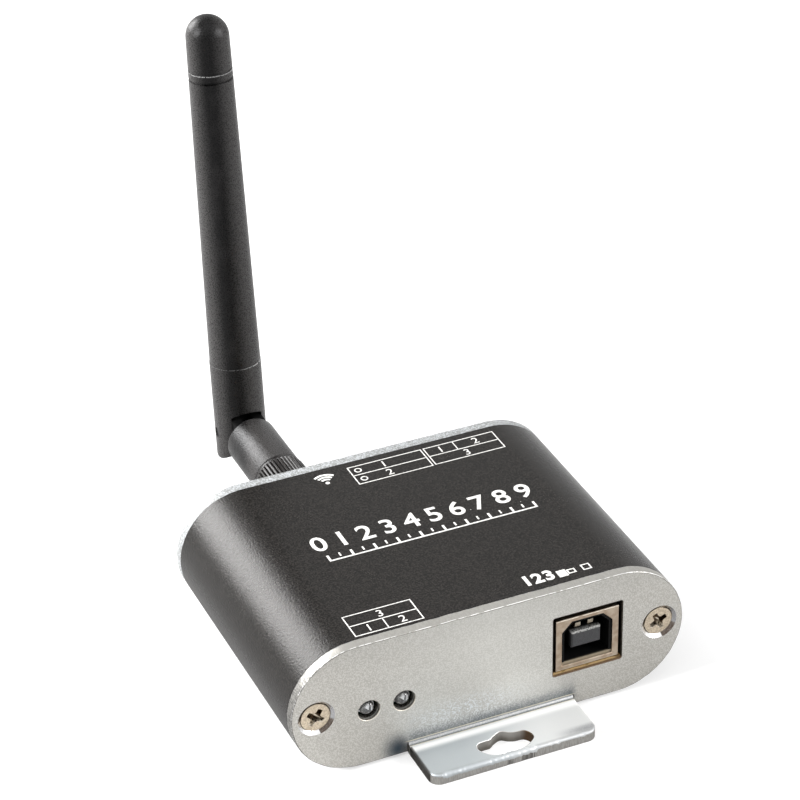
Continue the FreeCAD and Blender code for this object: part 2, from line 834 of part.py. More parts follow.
def socket_contacts():
    """Two leaves above the tongue and two below, and the four pins under the socket."""
    y = (SOCKET_FACE + S.contact_setback, SOCKET_FACE + S.cavity_depth)
    half, rise = S.contact_width / 2, S.tongue_height / 2
    leaves = []
    for side in (1, -1):
        x = S.socket_offset + S.contact_pitch / 2 * side
        top, bottom = SOCKET_MIDDLE + rise, SOCKET_MIDDLE - rise
        leaves.append(block((x - half, x + half), y, (top, top + S.contact_thickness)))
        leaves.append(block((x - half, x + half), y, (bottom - S.contact_thickness, bottom)))
    keep(group(*leaves), "socket_contacts")
    top = S.board_top + S.socket_metal
    pins = [rod("z", (LEAD_END, top), place, S.socket_pin) for place in socket_pin_places()]
    keep(group(*pins), "socket_pins")


# Front lamps: clear bodies on bent leads


def front_lamp(label, offset):
    tip = -(FACE - S.lamp_setback)
    across = (offset, LAMP_LEVEL)
    dome = doc.addObject("Part::Sphere", "Dome")
    bind(dome, Radius=S.lamp_radius)
    move(dome, offset, tip + S.lamp_radius, LAMP_LEVEL)
    barrel = rod("y", (tip + S.lamp_radius, tip + S.lamp_length), across, S.lamp_radius)
    flange = rod("y", (tip + S.lamp_length - S.lamp_flange_depth, tip + S.lamp_length), across,
                 S.lamp_flange)
    keep(joined(dome, barrel, flange), label)


def lamp_leads():
    """Each lead runs back from its lamp and turns down through the board."""
    back = -(FACE - S.lamp_setback) + S.lamp_length
    leads = []
    for x, y in lamp_lead_places():
        half = S.lamp_lead
        run = block((x - half, x + half), (back, y + half), (LAMP_LEVEL - half, LAMP_LEVEL + half))
        drop = block((x - half, x + half), (y - half, y + half), (LEAD_END, LAMP_LEVEL))
        leads.append(joined(run, drop))
    keep(group(*leads), "lamp_leads")


# Rear keys: a switch on the board and a plunger that passes the rear plate


def rear_key(name, offset):
    end = FACE + S.key_proud
    back = HALF_LENGTH - S.switch_gap
    across = (offset, KEY_LEVEL)
    half = S.switch_width / 2
    housing = block((offset - half, offset + half), (back - S.switch_depth, back),
                    (S.board_top, S.board_top + S.switch_height))
    seat = rod("y", (back - S.key_seat, back + S.switch_gap), across, S.key_radius + S.key_fit)
    keep(without(housing, seat), f"{name}_switch")
    start = back - S.key_seat + S.key_travel + S.key_stop
    keep(rod("y", (start, end), across, S.key_radius), f"{name}_button")


# Aerial jack on the board, with its washer and hexagon nut behind the rear plate


def aerial_jack():
    x, z = AERIAL
    half = S.jack_block_width / 2
    back = HALF_LENGTH - S.jack_block_setback
    foot = block((x - half, x + half), (back - S.jack_block_depth, back), (S.board_top, z + half))
    barrel = rod("y", (back, JACK_END), AERIAL, S.jack_radius)
    posts = [rod("z", (LEAD_END, S.board_top + S.jack_post), place, S.jack_post)
             for place in jack_post_places()]
    bore = rod("y", (back - S.jack_block_depth / 2, JACK_END), AERIAL, S.jack_bore)
    keep(without(joined(foot, barrel, *posts), bore), "aerial_jack")
    start, stop = back - S.jack_block_depth / 2, JACK_END - S.jack_mouth
    keep(ring("y", (start, stop), AERIAL, S.jack_bore, S.jack_contact), "jack_insulator")
    contact = rod("y", (start, stop), AERIAL, S.jack_contact)
    socket = rod("y", (stop - S.pin_reach - S.pin_room, stop), AERIAL, S.jack_socket)
    keep(without(contact, socket), "jack_contact")


def lock_washer():
    body = new_body("LockWasher")
    face = sketch_on(body, "XY_Plane", S.washer_thickness / 2)
    circle(face, 0.0, 0.0, S.washer_radius)
    circle(face, 0.0, 0.0, S.jack_radius + S.thread_fit)
    pad(body, face, "Washer", S.washer_thickness, symmetric=True)
    notch = sketch_on(body, "XY_Plane", S.washer_thickness / 2)
    half = S.washer_notch / 2
    rectangle(notch, (-half, half), (S.washer_radius - S.washer_notch, S.washer_radius + S.washer_notch))
    cut = pocket(body, notch, "Notch", S.washer_thickness * 2)
    round_pattern(body, cut, S.washer_notches)
    aim_body(body, "y", S.aerial_offset, FACE, S.aerial_height)
    keep(body, "lock_washer")


def round_pattern(body, cut, count):
    """Repeat a cut round the body's Z axis."""
    repeat = body.newObject("PartDesign::PolarPattern", "Repeat")
    repeat.Originals = [cut]
    repeat.Axis = (plane(body, "Z_Axis"), [""])
    repeat.Angle = 360.0
    bind(repeat, Occurrences=count)
    body.Tip = repeat
    doc.recompute()


def hexagon_nut():
    body = new_body("HexagonNut")
    flat = S.hex_flats / 2
    point = S.hex_flats / math.sqrt(3)
    face = sketch_on(body, "XY_Plane")
    outline(face, [(point, 0.0), (point / 2, flat), (-(point / 2), flat), (-point, 0.0),
                   (-(point / 2), -flat), (point / 2, -flat)])
    circle(face, 0.0, 0.0, S.jack_radius + S.thread_fit)
    pad(body, face, "Hexagon", S.hex_thickness)
    aim_body(body, "y", S.aerial_offset, FACE + S.washer_thickness, S.aerial_height)
    keep(body, "hexagon_nut")


# Aerial plug: knurled nut, ferrule, insulator and pin


def coupling_nut():
    body = new_body("CouplingNut")
    profile = sketch_on(body, "XZ_Plane")
    bore, neck = S.jack_radius + S.thread_fit, S.ferrule_neck + S.turn_fit
    length, edge = S.nut_length, S.nut_chamfer
    outline(profile, [(bore, 0.0), (S.nut_radius - edge, 0.0), (S.nut_radius, edge),
                      (S.nut_radius, length - edge), (S.nut_radius - edge, length), (neck, length),
                      (neck, length - S.nut_wall), (bore, length - S.nut_wall)])
    revolve(body, profile, "Nut")
    flute = sketch_on(body, "XY_Plane", length / 2)
    half = S.flute_width
    outline(flute, [(S.nut_radius - S.flute_depth, 0.0), (S.nut_radius + S.flute_depth, -half),
                    (S.nut_radius + S.flute_depth, half)])
    cut = pocket(body, flute, "Flute", length * 2)
    round_pattern(body, cut, S.flutes)
    aim_body(body, "y", S.aerial_offset, NUT_START, S.aerial_height)
    keep(body, "coupling_nut")


def aerial_plug():
    """The plug's inner pieces, which turn with the elbow inside the coupling nut."""
    start = JACK_END + S.turn_fit
    stop = NUT_END - S.nut_wall - S.turn_fit
    end = NUT_END + S.turn_fit + S.ferrule_insert
    flange = rod("y", (start, stop), AERIAL, S.ferrule_flange)
    neck = rod("y", (stop, end), AERIAL, S.ferrule_neck)
    bore = rod("y", (start, end), AERIAL, S.feed_passage)
    keep(without(joined(flange, neck), bore), "plug_ferrule")
    keep(ring("y", (start, stop), AERIAL, S.feed_passage, S.pin_radius), "plug_insulator")
    tip = JACK_END - S.jack_mouth - S.pin_reach
    keep(rod("y", (tip, stop), AERIAL, S.pin_radius), "plug_pin")
    keep(rod("y", (stop, SHOULDER), AERIAL, S.feed_radius), "elbow_cable")


# Elbow with the hinge tongue


def aerial_elbow():
    body = new_body("AerialElbow")
    profile = sketch_on(body, "XZ_Plane")
    edge, length = S.elbow_edge, S.elbow_length
    outline(profile, [(S.ferrule_neck, 0.0), (S.elbow_radius - edge, 0.0), (S.elbow_radius, edge),
                      (S.elbow_radius, length - edge), (S.elbow_radius - edge, length),
                      (S.feed_passage, length), (S.feed_passage, S.ferrule_insert),
                      (S.ferrule_neck, S.ferrule_insert)])
    revolve(body, profile, "Barrel")
    hinge_level = length + S.hinge_distance
    root_level = length - S.hinge_distance / 2
    reach = S.tongue_end
    tongue = sketch_on(body, "YZ_Plane")
    outline(tongue, [(-reach, root_level), (reach, root_level),
                     (reach, hinge_level, (0.0, hinge_level)), (-reach, hinge_level)])
    pad(body, tongue, "Tongue", TONGUE_HALF * 2, symmetric=True)
    passage = sketch_on(body, "YZ_Plane")
    rectangle(passage, (-reach * 2, reach * 2), (length, hinge_level + reach * 2))
    pocket(body, passage, "CableGap", S.feed_passage * 2)
    way = sketch_on(body, "XY_Plane", length)
    circle(way, 0.0, 0.0, S.feed_passage)
    pocket(body, way, "CableWay", S.hinge_distance * 2)
    pivot = sketch_on(body, "YZ_Plane")
    circle(pivot, 0.0, hinge_level, S.hinge_pin + S.hinge_fit)
    pocket(body, pivot, "Pivot", TONGUE_HALF * 4)
    aim_body(body, "y", S.aerial_offset, NUT_END + S.turn_fit, S.aerial_height)
    keep(body, "aerial_elbow")


# Whip, built upright on the hinge axis and then leaned back about it


def lean(thing):
    """Set a whip piece on the hinge, leaned towards the rear."""
    thing.Placement = Placement(Vector(), Rotation(Vector(-1, 0, 0), 1))
    thing.setExpression(".Placement.Rotation.Angle", S.whip_lean.text)
    return move(thing, S.aerial_offset, HINGE, S.aerial_height)


def whip_rod(span, radius):
    thing = new_body("WhipRod")
    face = sketch_on(thing, "XY_Plane", span[0])
    circle(face, 0.0, 0.0, radius)
    pad(thing, face, "Rod", span[1] - span[0])
    return thing


def whip_base():
    body = new_body("WhipBase")
    profile = sketch_on(body, "XZ_Plane")
    top = S.whip_seam + S.spigot_length
    outline(profile, [(0.0, -S.fork_round), (S.whip_base_radius, -S.fork_round),
                      (S.whip_base_radius, S.whip_seam), (S.spigot_radius, S.whip_seam),
                      (S.spigot_radius, top), (0.0, top)])
    revolve(body, profile, "Stem")
    reach = S.fork_round * 2
    below = sketch_on(body, "YZ_Plane")
    outline(below, [(-reach, 0.0), (-reach, -reach), (reach, -reach), (reach, 0.0),
                    (S.fork_round, 0.0, (0.0, 0.0), "clockwise"), (-S.fork_round, 0.0)])
    pocket(body, below, "ForkRound", S.whip_base_radius * 3)
    slot = sketch_on(body, "XZ_Plane")
    half, roof, shoulder = S.fork_slot / 2, S.fork_roof, S.fork_shoulder
    arch_middle = (roof * roof - shoulder * shoulder - half * half) / ((roof - shoulder) * 2)
    outline(slot, [(-half, -reach), (half, -reach), (half, shoulder, (0.0, arch_middle)),
                   (-half, shoulder)])
    pocket(body, slot, "ForkSlot", reach * 2)
    pin = sketch_on(body, "YZ_Plane")
    circle(pin, 0.0, 0.0, S.hinge_pin)
    pocket(body, pin, "PinBore", S.whip_base_radius * 3)
    way = sketch_on(body, "XY_Plane", S.whip_seam)
    circle(way, 0.0, 0.0, S.feed_passage)
    pocket(body, way, "CableWay", top * 2)
    keep(lean(body), "whip_base")


def hinge_pins():
    """A short pin in each cheek of the fork, so that the cable passes between them."""
    outer = S.whip_base_radius - S.pin_sink
    for name, side in (("left", -1), ("right", 1)):
        body = new_body("HingePin")
        middle = (outer + S.feed_passage) / 2 * side
        face = sketch_on(body, "YZ_Plane", middle)
        circle(face, 0.0, 0.0, S.hinge_pin)
        pad(body, face, "Pin", outer - S.feed_passage, symmetric=True)
        keep(lean(body), f"hinge_pin_{name}")


def whip_sleeve():
    body = new_body("WhipSleeve")
    profile = sketch_on(body, "XZ_Plane")
    dome = S.whip_reach - S.whip_tip_radius
    slope = (S.whip_seam_radius - S.whip_tip_radius) / (dome - S.whip_seam)
    inner = S.spigot_radius + S.spigot_fit
    narrow = S.whip_tip_radius - S.whip_wall
    step = S.whip_seam + S.spigot_length

    def skin(level):
        return S.whip_tip_radius + slope * (dome - level)

    corners = [(inner, S.whip_seam), (S.whip_seam_radius, S.whip_seam)]
    for middle in (S.groove_low, S.groove_high):
        low, high = middle - S.groove_width / 2, middle + S.groove_width / 2
        floor = skin(middle) - S.groove_depth
        corners += [(skin(low), low), (floor, low), (floor, high), (skin(high), high)]
    corners += [(S.whip_tip_radius, dome, (0.0, dome)), (0.0, S.whip_reach), (0.0, dome), (narrow, dome),
                (narrow, step), (inner, step)]
    outline(profile, corners)
    revolve(body, profile, "Sleeve")
    keep(lean(body), "whip_sleeve")


def whip_inside():
    """The cable up the whip and the brass tube over its foot."""
    cable = whip_rod((S.fork_roof, S.whip_reach - S.whip_wire_room), S.feed_radius)
    keep(lean(cable), "whip_cable")
    tube = new_body("Radiator")
    face = sketch_on(tube, "XY_Plane", S.radiator_start)
    circle(face, 0.0, 0.0, S.radiator_radius)
    circle(face, 0.0, 0.0, S.radiator_radius - S.radiator_wall)
    pad(tube, face, "Tube", S.radiator_length)
    bead = sketch_on(tube, "XY_Plane", S.radiator_start)
    circle(bead, 0.0, 0.0, S.radiator_radius - S.radiator_wall / 2)
    circle(bead, 0.0, 0.0, S.feed_radius)
    pad(tube, bead, "Collar", S.radiator_collar)
    keep(lean(tube), "whip_radiator")


# Parts on the board


def seated(middle, spread, height, level):
    """A block of a given spread about a point, standing on a level."""
    (x, y), (across, along) = middle, spread
    return block((x - across / 2, x + across / 2), (y - along / 2, y + along / 2),
                 (level, level + height))


def radio_module():
    middle = (S.module_x, S.module_y)
    keep(seated(middle, (S.module_width, S.module_length), S.module_thickness, S.board_top),
         "module_board")
    level = S.board_top + S.module_thickness
    can = (S.shield_width, S.shield_length)
    room = (S.shield_width - S.shield_sheet * 2, S.shield_length - S.shield_sheet * 2)
    shell = seated(middle, can, S.shield_height, level)
    inside = seated(middle, room, S.shield_height - S.shield_sheet, level)
    keep(without(shell, inside), "module_shield")
    keep(seated(middle, (S.radio_chip, S.radio_chip), S.radio_chip_thickness, level), "radio_chip")


def bridge_chip():
    middle = (S.bridge_x, SOCKET_BACK + S.bridge_gap)
    keep(seated(middle, (S.bridge_width, S.bridge_length), S.bridge_thickness, S.board_top),
         "bridge_chip")
    legs = []
    for side in (1, -1):
        x = S.bridge_x + (S.bridge_width + S.bridge_leg_reach) / 2 * side
        for row in range(int(SIZES["bridge_leg_rows"])):
            shift = S.bridge_leg_pitch * (row - (SIZES["bridge_leg_rows"] - 1) / 2)
            legs.append(seated((x, middle[1] + shift), (S.bridge_leg_reach, S.bridge_leg),
                               S.bridge_leg, S.board_top))
    keep(group(*legs), "bridge_chip_legs")


def clock_crystal():
    half = S.crystal_width / 2
    reach = S.crystal_length / 2 - half
    span = (S.board_top, S.board_top + S.crystal_height)
    ends = [rod("z", span, (S.crystal_x + reach * side, S.crystal_y), half) for side in (1, -1)]
    middle = block((S.crystal_x - reach, S.crystal_x + reach), (S.crystal_y - half, S.crystal_y + half),
                   span)
    keep(joined(middle, *ends), "clock_crystal")


def regulator():
    middle = (S.regulator_x, S.regulator_y)
    keep(seated(middle, (S.regulator_width, S.regulator_length), S.regulator_thickness, S.board_top),
         "regulator")
    thickness, reach = S.regulator_leg_thickness, S.regulator_leg_reach
    shift = (S.regulator_length + reach) / 2
    legs = [seated((S.regulator_x + S.regulator_leg_pitch * step, S.regulator_y - shift),
                   (S.regulator_leg_width, reach), thickness, S.board_top) for step in (-1, 0, 1)]
    legs.append(seated((S.regulator_x, S.regulator_y + shift), (S.regulator_tab, reach), thickness,
                       S.board_top))
    keep(group(*legs), "regulator_legs")


def supply_capacitor():
    middle, width = (S.capacitor_x, S.capacitor_y), S.capacitor_radius * 2
    keep(seated(middle, (width, width), S.capacitor_base_height, S.board_top), "capacitor_base")
    span = (S.board_top + S.capacitor_base_height, S.board_top + S.capacitor_height)
    keep(rod("z", span, middle, S.capacitor_radius), "capacitor_can")


def chip_parts():
    """Rows of small resistors and capacitors beside the chips."""
    rows = {
        "chip_resistors": (S.resistor_x, SOCKET_BACK + S.resistor_gap),
        "chip_capacitors": (S.ceramic_x, S.ceramic_y),
    }
    for label, (x, y) in rows.items():
        parts = [seated((x + S.chip_part_pitch * step, y), (S.chip_part_width, S.chip_part_length),
                        S.chip_part_height, S.board_top)
                 for step in range(int(SIZES["chip_parts_in_row"]))]
        keep(group(*parts), label)


def build():
    enclosure_shell()
    front_plate()
    rear_plate()
    for name, end in (("front", -1), ("rear", 1)):
        for place, side in (("left", -1), ("right", 1)):
            plate_screw(f"{name}_screw_{place}", side, end)
    main_board()
    socket_shell()
    socket_insulator()
    socket_contacts()
    for name, offset in LAMPS.items():
        front_lamp(f"{name}_lamp", offset)
    lamp_leads()
    for name, offset in KEYS.items():
        rear_key(name, offset)
    aerial_jack()
    lock_washer()
    hexagon_nut()
    coupling_nut()
    aerial_plug()
    aerial_elbow()
    whip_base()
    hinge_pins()
    whip_sleeve()
    whip_inside()
    radio_module()
    bridge_chip()
    clock_crystal()
    regulator()
    supply_capacitor()
    chip_parts()


def export():
    """Check every object and write each piece."""
    doc.recompute()
    failed = [thing.Label for thing in doc.Objects if {"Invalid", "Error"} & set(thing.State)]
    if failed:
        raise RuntimeError(f"failed objects: {failed}")
    os.makedirs("parts", exist_ok=True)
    for piece in PIECES:
        shape = piece.Shape
        if shape.isNull() or not shape.isValid() or not shape.Solids:
            raise RuntimeError(f"{piece.Label} is not a valid solid")
        shape.exportStep(f"parts/{piece.Label}.step")
        box = shape.BoundBox
        print(f"{piece.Label:20s} solids {len(shape.Solids):2d}  volume {shape.Volume:9.2f}  "
              f"x {box.XMin:7.2f} {box.XMax:7.2f}  y {box.YMin:7.2f} {box.YMax:7.2f}  "
              f"z {box.ZMin:7.2f} {box.ZMax:7.2f}")


build()
export()
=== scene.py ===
from functools import partialmethod

import bmesh
import bpy
import numpy as np
from mathutils import Matrix
from mathutils.geometry import tessellate_polygon


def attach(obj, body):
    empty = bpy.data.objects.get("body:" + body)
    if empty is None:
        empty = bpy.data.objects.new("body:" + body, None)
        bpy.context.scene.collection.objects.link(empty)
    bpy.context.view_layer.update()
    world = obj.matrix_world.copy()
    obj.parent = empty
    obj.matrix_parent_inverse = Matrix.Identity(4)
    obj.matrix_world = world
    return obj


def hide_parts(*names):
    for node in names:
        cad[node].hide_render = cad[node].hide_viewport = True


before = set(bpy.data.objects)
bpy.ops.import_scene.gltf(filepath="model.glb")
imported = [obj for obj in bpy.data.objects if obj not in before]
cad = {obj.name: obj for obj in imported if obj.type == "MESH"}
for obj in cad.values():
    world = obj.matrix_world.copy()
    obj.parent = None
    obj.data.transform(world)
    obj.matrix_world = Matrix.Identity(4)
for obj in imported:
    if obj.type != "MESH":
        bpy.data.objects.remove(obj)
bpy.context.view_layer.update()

# View
# A long lens to the left of the front, above the case, looks down on it. Its directions and its place were
# fitted to the case's outline, holes and aerial.

RIGHT = (0.91416, -0.40498, -0.01731)
DOWN = (-0.22618, -0.47420, -0.85087)
AHEAD = (0.33638, 0.78175, -0.52509)
LENS_PLACE = (-0.17925, -0.40539, 0.32536)

turned = np.eye(4)
turned[:3, :3] = np.array([RIGHT, np.negative(DOWN), np.negative(AHEAD)]).T
turned[:3, 3] = LENS_PLACE
camera = bpy.data.objects.new("camera", bpy.data.cameras.new("camera"))
bpy.context.collection.objects.link(camera)
camera.matrix_world = Matrix(turned.tolist())
camera.data.lens = 138.7
camera.data.sensor_width = 36.0
camera.data.shift_x = 0.0045
camera.data.shift_y = -0.0037
camera.data.clip_start = 0.01
bpy.context.scene.camera = camera
bpy.context.scene.view_settings.view_transform = "Standard"


# Extruded box
# The case is a length of aluminium extrusion with round sides, card rails and screw ports inside. It is sawn
# to length and powder coated satin black, with a fine grain, and its sawn ends are left sharp.


class Tone:
    """A value in a material. Arithmetic on it adds the Math nodes that work it out."""

    def __init__(self, finish, socket):
        self.finish = finish
        self.socket = socket

    def math(self, operation, other=0.0):
        return self.finish.node("Math", {0: self, 1: other}, operation=operation)[0]

    __add__ = __radd__ = partialmethod(math, "ADD")
    __mul__ = __rmul__ = partialmethod(math, "MULTIPLY")
    __sub__ = partialmethod(math, "SUBTRACT")
    __truediv__ = partialmethod(math, "DIVIDE")
    __abs__ = partialmethod(math, "ABSOLUTE")
    most = partialmethod(math, "MAXIMUM")

    def __rsub__(self, other):
        return self.finish.node("Math", {0: other, 1: self}, operation="SUBTRACT")[0]

    def under(self, factor, colour):
        """This colour, with another laid over it by a factor."""
        return self.finish.blend(factor, self, colour)

    def over(self, low, high):
        """0 up to low, 1 from high, and a smooth rise between them."""
        sockets = {"Value": self, "From Min": low, "From Max": high}
        return self.finish.node("MapRange", sockets, interpolation_type="SMOOTHSTEP")[0]

    def near(self, middle, reach):
        """1 at the middle, falling smoothly to 0 at reach from it."""
        return 1 - abs(self - middle).over(0.0, reach)


class Finish:
    """A material: a Principled shader's constants, and the nodes for what varies over the surface, in mm."""

    def __init__(self, name, constants):
        self.material = bpy.data.materials.new(name)
        self.material.use_nodes = True
        self.tree = self.material.node_tree
        self.shader = self.tree.nodes["Principled BSDF"]
        for socket, value in constants.items():
            self.use(socket, value)
        origin = self.node("TexCoord")[3]
        self.place = self.scaled(origin, 1000.0)
        self.x, self.y, self.z = self.node("SeparateXYZ", {0: self.place})

    def connect(self, socket, value):
        if isinstance(value, Tone):
            self.tree.links.new(value.socket, socket)
        elif socket.type == "RGBA":
            socket.default_value = (*value, 1.0)
        else:
            socket.default_value = value

    def use(self, socket, value):
        self.connect(self.shader.inputs[socket], value)

    def node(self, kind, sockets=None, **settings):
        """Add a node with its settings, then its sockets' values or links, and give its outputs."""
        node = self.tree.nodes.new("ShaderNode" + kind)
        for name, value in settings.items():
            setattr(node, name, value)
        for key, value in (sockets or {}).items():
            self.connect(node.inputs[key], value)
        return [Tone(self, socket) for socket in node.outputs]

    def scaled(self, vector, scale):
        return self.node("VectorMath", {0: vector, "Scale": scale}, operation="SCALE")[0]

    def noise(self, size, detail=2.0, stretch=(1.0, 1.0, 1.0)):
        """Chance values about 0.5 in spots of this size, longer where stretch is above 1."""
        scale = [1 / (size * along) for along in stretch]
        spot = self.node("VectorMath", {0: self.place, 1: scale}, operation="MULTIPLY")[0]
        return self.node("TexNoise", {"Vector": spot, "Scale": 1.0, "Detail": detail})[0]

    def specks(self, pitch, size, share):
        """Spots of this size, one at most in each cell of the pitch, in about this share of the cells."""
        spot = self.scaled(self.place, 1 / pitch)
        cells = self.node("TexVoronoi", {"Vector": spot, "Scale": 1.0})
        chance = self.node("SeparateColor", {0: cells[1]})[0]
        return (1 - cells[0].over(size / pitch * 0.5, size / pitch)) * (1 - chance.over(share, share + 0.01))

    def blend(self, factor, first, second):
        return self.node("Mix", {0: factor, 6: first, 7: second}, data_type="RGBA")[2]

    def surface(self, colour, roughness, height, depth):
        """The colour and roughness, and a relief of this height, whose 0 to 1 is the depth in mm."""
        self.use("Base Color", colour)
        self.use("Roughness", roughness)
        self.use("Normal", self.node("Bump", {"Height": height, "Distance": depth / 1000})[0])


def merged_skin():
    """Modifier nodes that join a CAD mesh's triangles into one skin with smooth faces."""
    group = bpy.data.node_groups.new("merged_skin", "GeometryNodeTree")
    for way in ("INPUT", "OUTPUT"):
        group.interface.new_socket("Geometry", in_out=way, socket_type="NodeSocketGeometry")
    kinds = ("NodeGroupInput", "GeometryNodeRemoveAttribute", "GeometryNodeMergeByDistance",
             "GeometryNodeSetShadeSmooth", "NodeGroupOutput")
    nodes = [group.nodes.new(kind) for kind in kinds]
    nodes[1].inputs["Name"].default_value = "custom_normal"
    nodes[2].inputs["Distance"].default_value = 1e-6
    for first, second in zip(nodes, nodes[1:]):
        group.links.new(first.outputs[0], second.inputs[0])
    return group


MERGED = merged_skin()


def dress(finish, size, *names):
    """Give CAD nodes a finish, and a small rounding of this size in mm along their sharp edges."""
    for name in names:
        node = cad[name]
        node.modifiers.new("merged", "NODES").node_group = MERGED
        if size:
            flats = node.modifiers.new("flats", "DECIMATE")
            flats.decimate_type = "DISSOLVE"
            flats.angle_limit = np.radians(0.5)
            rounding = node.modifiers.new("rounding", "BEVEL")
            rounding.width = size / 1000
            rounding.segments = 2
            rounding.limit_method = "ANGLE"
            rounding.angle_limit = np.radians(35.0)
            node.modifiers.new("flat_faces", "WEIGHTED_NORMAL")
        else:
            node.modifiers.new("edges", "EDGE_SPLIT").split_angle = np.radians(35.0)
        node.data.materials.clear()
        node.data.materials.append(finish.material)


satin = Finish("satin_powder_coat", {"Specular IOR Level": 0.185, "Specular Tint": (1.0, 0.98, 0.95)})
grain = satin.noise(0.28, 1.0)
cloudy = satin.noise(9.0, 3.0)
dust = satin.specks(4.5, 0.13, 0.16)
coat = satin.blend(grain.over(0.35, 0.65), (0.002, 0.0017, 0.0014), (0.016, 0.014, 0.0125))
dull_below = 0.18 * (1 - satin.z.over(5.0, 16.0))
satin.surface(satin.blend(dust * 0.8, coat, (0.55, 0.54, 0.5)),
              0.2 + 0.05 * cloudy + 0.06 * grain + dull_below, grain + 0.3 * satin.noise(0.7), 0.055)
dress(satin, 0.12, "enclosure_shell")


# Print
# White ink is screened on the top, beside the keys, lamps and socket: frames with plain numbers, a scale from
# 0 to 9 in the middle, arcs at the aerial, and a bold number, a plug and a small square at the front.

TOP = 25.1
INK_LOW, INK_TOP = TOP - 0.005, TOP + 0.02
LINE = 0.2
MODE_FRAME = ((-4.7, 17.5), (9.6, 23.2))
KEY_FRAME = ((10.2, 17.6), (23.9, 23.2))
LAMP_FRAME = ((-23.4, -24.25), (-11.1, -18.4))
DIVIDERS = (((-4.7, 20.4), (9.6, 20.4)), ((10.2, 20.4), (23.9, 20.4)), ((15.9, 20.4), (15.9, 23.2)),
            ((-23.4, -21.3), (-11.1, -21.3)), ((-17.4, -24.25), (-17.4, -21.3)))
FRAME_NUMBERS = ((1, 1.8, 21.8), (2, 1.8, 18.95), (1, 13.0, 21.8), (2, 19.9, 21.8), (3, 17.0, 18.95),
                 (1, -20.4, -22.8), (2, -14.3, -22.8), (3, -17.2, -19.85))
SCALE_START, SCALE_STEP = -18.6, 4.35
AERIAL_SIGN = (-9.7, 20.3)


class Skin:
    """The surface of one piece, gathered patch by patch in mm and welded where the patches meet."""

    def __init__(self):
        self.points, self.faces, self.smooth, self.slots, self.count = [], [], [], [], 0

    def add(self, points, faces, smooth, slot):
        """Points, and faces of them, whose numbers go up by the points already here."""
        self.points.append(points.reshape(-1, 3))
        self.faces += (np.asarray(faces) + self.count).tolist()
        self.smooth += [smooth] * len(faces)
        self.slots += [slot] * len(faces)
        self.count += len(self.points[-1])

    def grid(self, points, round_rows=False, round_columns=False, slot=0):
        """Smooth faces between neighbours in an array of rows by columns of points."""
        number = np.arange(points.shape[0] * points.shape[1]).reshape(points.shape[:2])
        if round_rows:
            number = np.vstack([number, number[:1]])
        if round_columns:
            number = np.hstack([number, number[:, :1]])
        quads = np.stack([number[:-1, :-1], number[1:, :-1], number[1:, 1:], number[:-1, 1:]], -1)
        self.add(points, quads.reshape(-1, 4), True, slot)

    def face(self, *rings, slot=0):
        """A flat face inside the first ring of points, less the rings after it."""
        self.add(np.vstack(rings), tessellate_polygon([ring.tolist() for ring in rings]), False, slot)

    def piece(self, name, body, record_slot, finishes, *nodes):
        """The finished object, riding on a body and standing for CAD nodes."""
        mesh = bpy.data.meshes.new(name)
        mesh.from_pydata((np.vstack(self.points) / 1000).tolist(), [], self.faces)
        mesh.polygons.foreach_set("use_smooth", self.smooth)
        mesh.polygons.foreach_set("material_index", self.slots)
        work = bmesh.new()
        work.from_mesh(mesh)
        bmesh.ops.remove_doubles(work, verts=work.verts, dist=2e-7)
        bmesh.ops.recalc_face_normals(work, faces=work.faces)
        work.to_mesh(mesh)
        work.free()
        smooth = np.empty(len(mesh.polygons), bool)
        mesh.polygons.foreach_get("use_smooth", smooth)
        mesh.set_sharp_from_angle(angle=np.radians(38.0))
        mesh.polygons.foreach_set("use_smooth", smooth)
        for finish in finishes:
            mesh.materials.append(finish.material)
        made = bpy.data.objects.new(name, mesh)
        bpy.context.collection.objects.link(made)
        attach(made, body)
        if nodes:
            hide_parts(*nodes)


def inward(path, closed=True):
    """The direction to the left of a line at each point: the left normals of its two runs, added and divided
    by one plus their dot product, so that a strip keeps its width round a corner."""
    ahead = np.roll(path, -1, 0) - path
    if not closed:
        ahead[-1] = ahead[-2]
    ahead = ahead / np.linalg.norm(ahead, axis=1, keepdims=True)
    behind = np.roll(ahead, 1, 0)
    if not closed:
        behind[0] = ahead[0]
    left = np.stack([-ahead[:, 1], ahead[:, 0]], 1)
    before = np.stack([-behind[:, 1], behind[:, 0]], 1)
    return (left + before) / (1 + np.sum(left * before, axis=1, keepdims=True))


def arc(x, y, radius, start, end, steps):
    """Points on a circle about x, y from one angle in degrees to another."""
    turn = np.radians(np.linspace(start, end, steps + 1))
    return np.stack([x + radius * np.cos(turn), y + radius * np.sin(turn)], 1)


def circle(x, y, radius, steps=64, way=1):
    """Once round, or clockwise with way -1, as a hole is walked so that the metal is on its left."""
    return arc(x, y, radius, 0, 360 * way, steps)[:-1]


def frame_line(low, high):
    """The corners of a rectangle between its lowest and its highest."""
    return np.array([low, (high[0], low[1]), high, (low[0], high[1])], float)


def ink_line(ink, path, width=LINE, closed=False):
    """A strip of ink along points: two mitred edges, each low and high."""
    path = np.asarray(path, float)
    side = inward(path, closed) * width / 2
    ring = np.stack([np.column_stack([path + side * way, np.full(len(path), level)])
                     for way, level in ((1, INK_LOW), (1, INK_TOP), (-1, INK_TOP), (-1, INK_LOW))], 1)
    ink.grid(ring, closed, True)
    if not closed:
        ink.face(ring[0])
        ink.face(ring[-1])


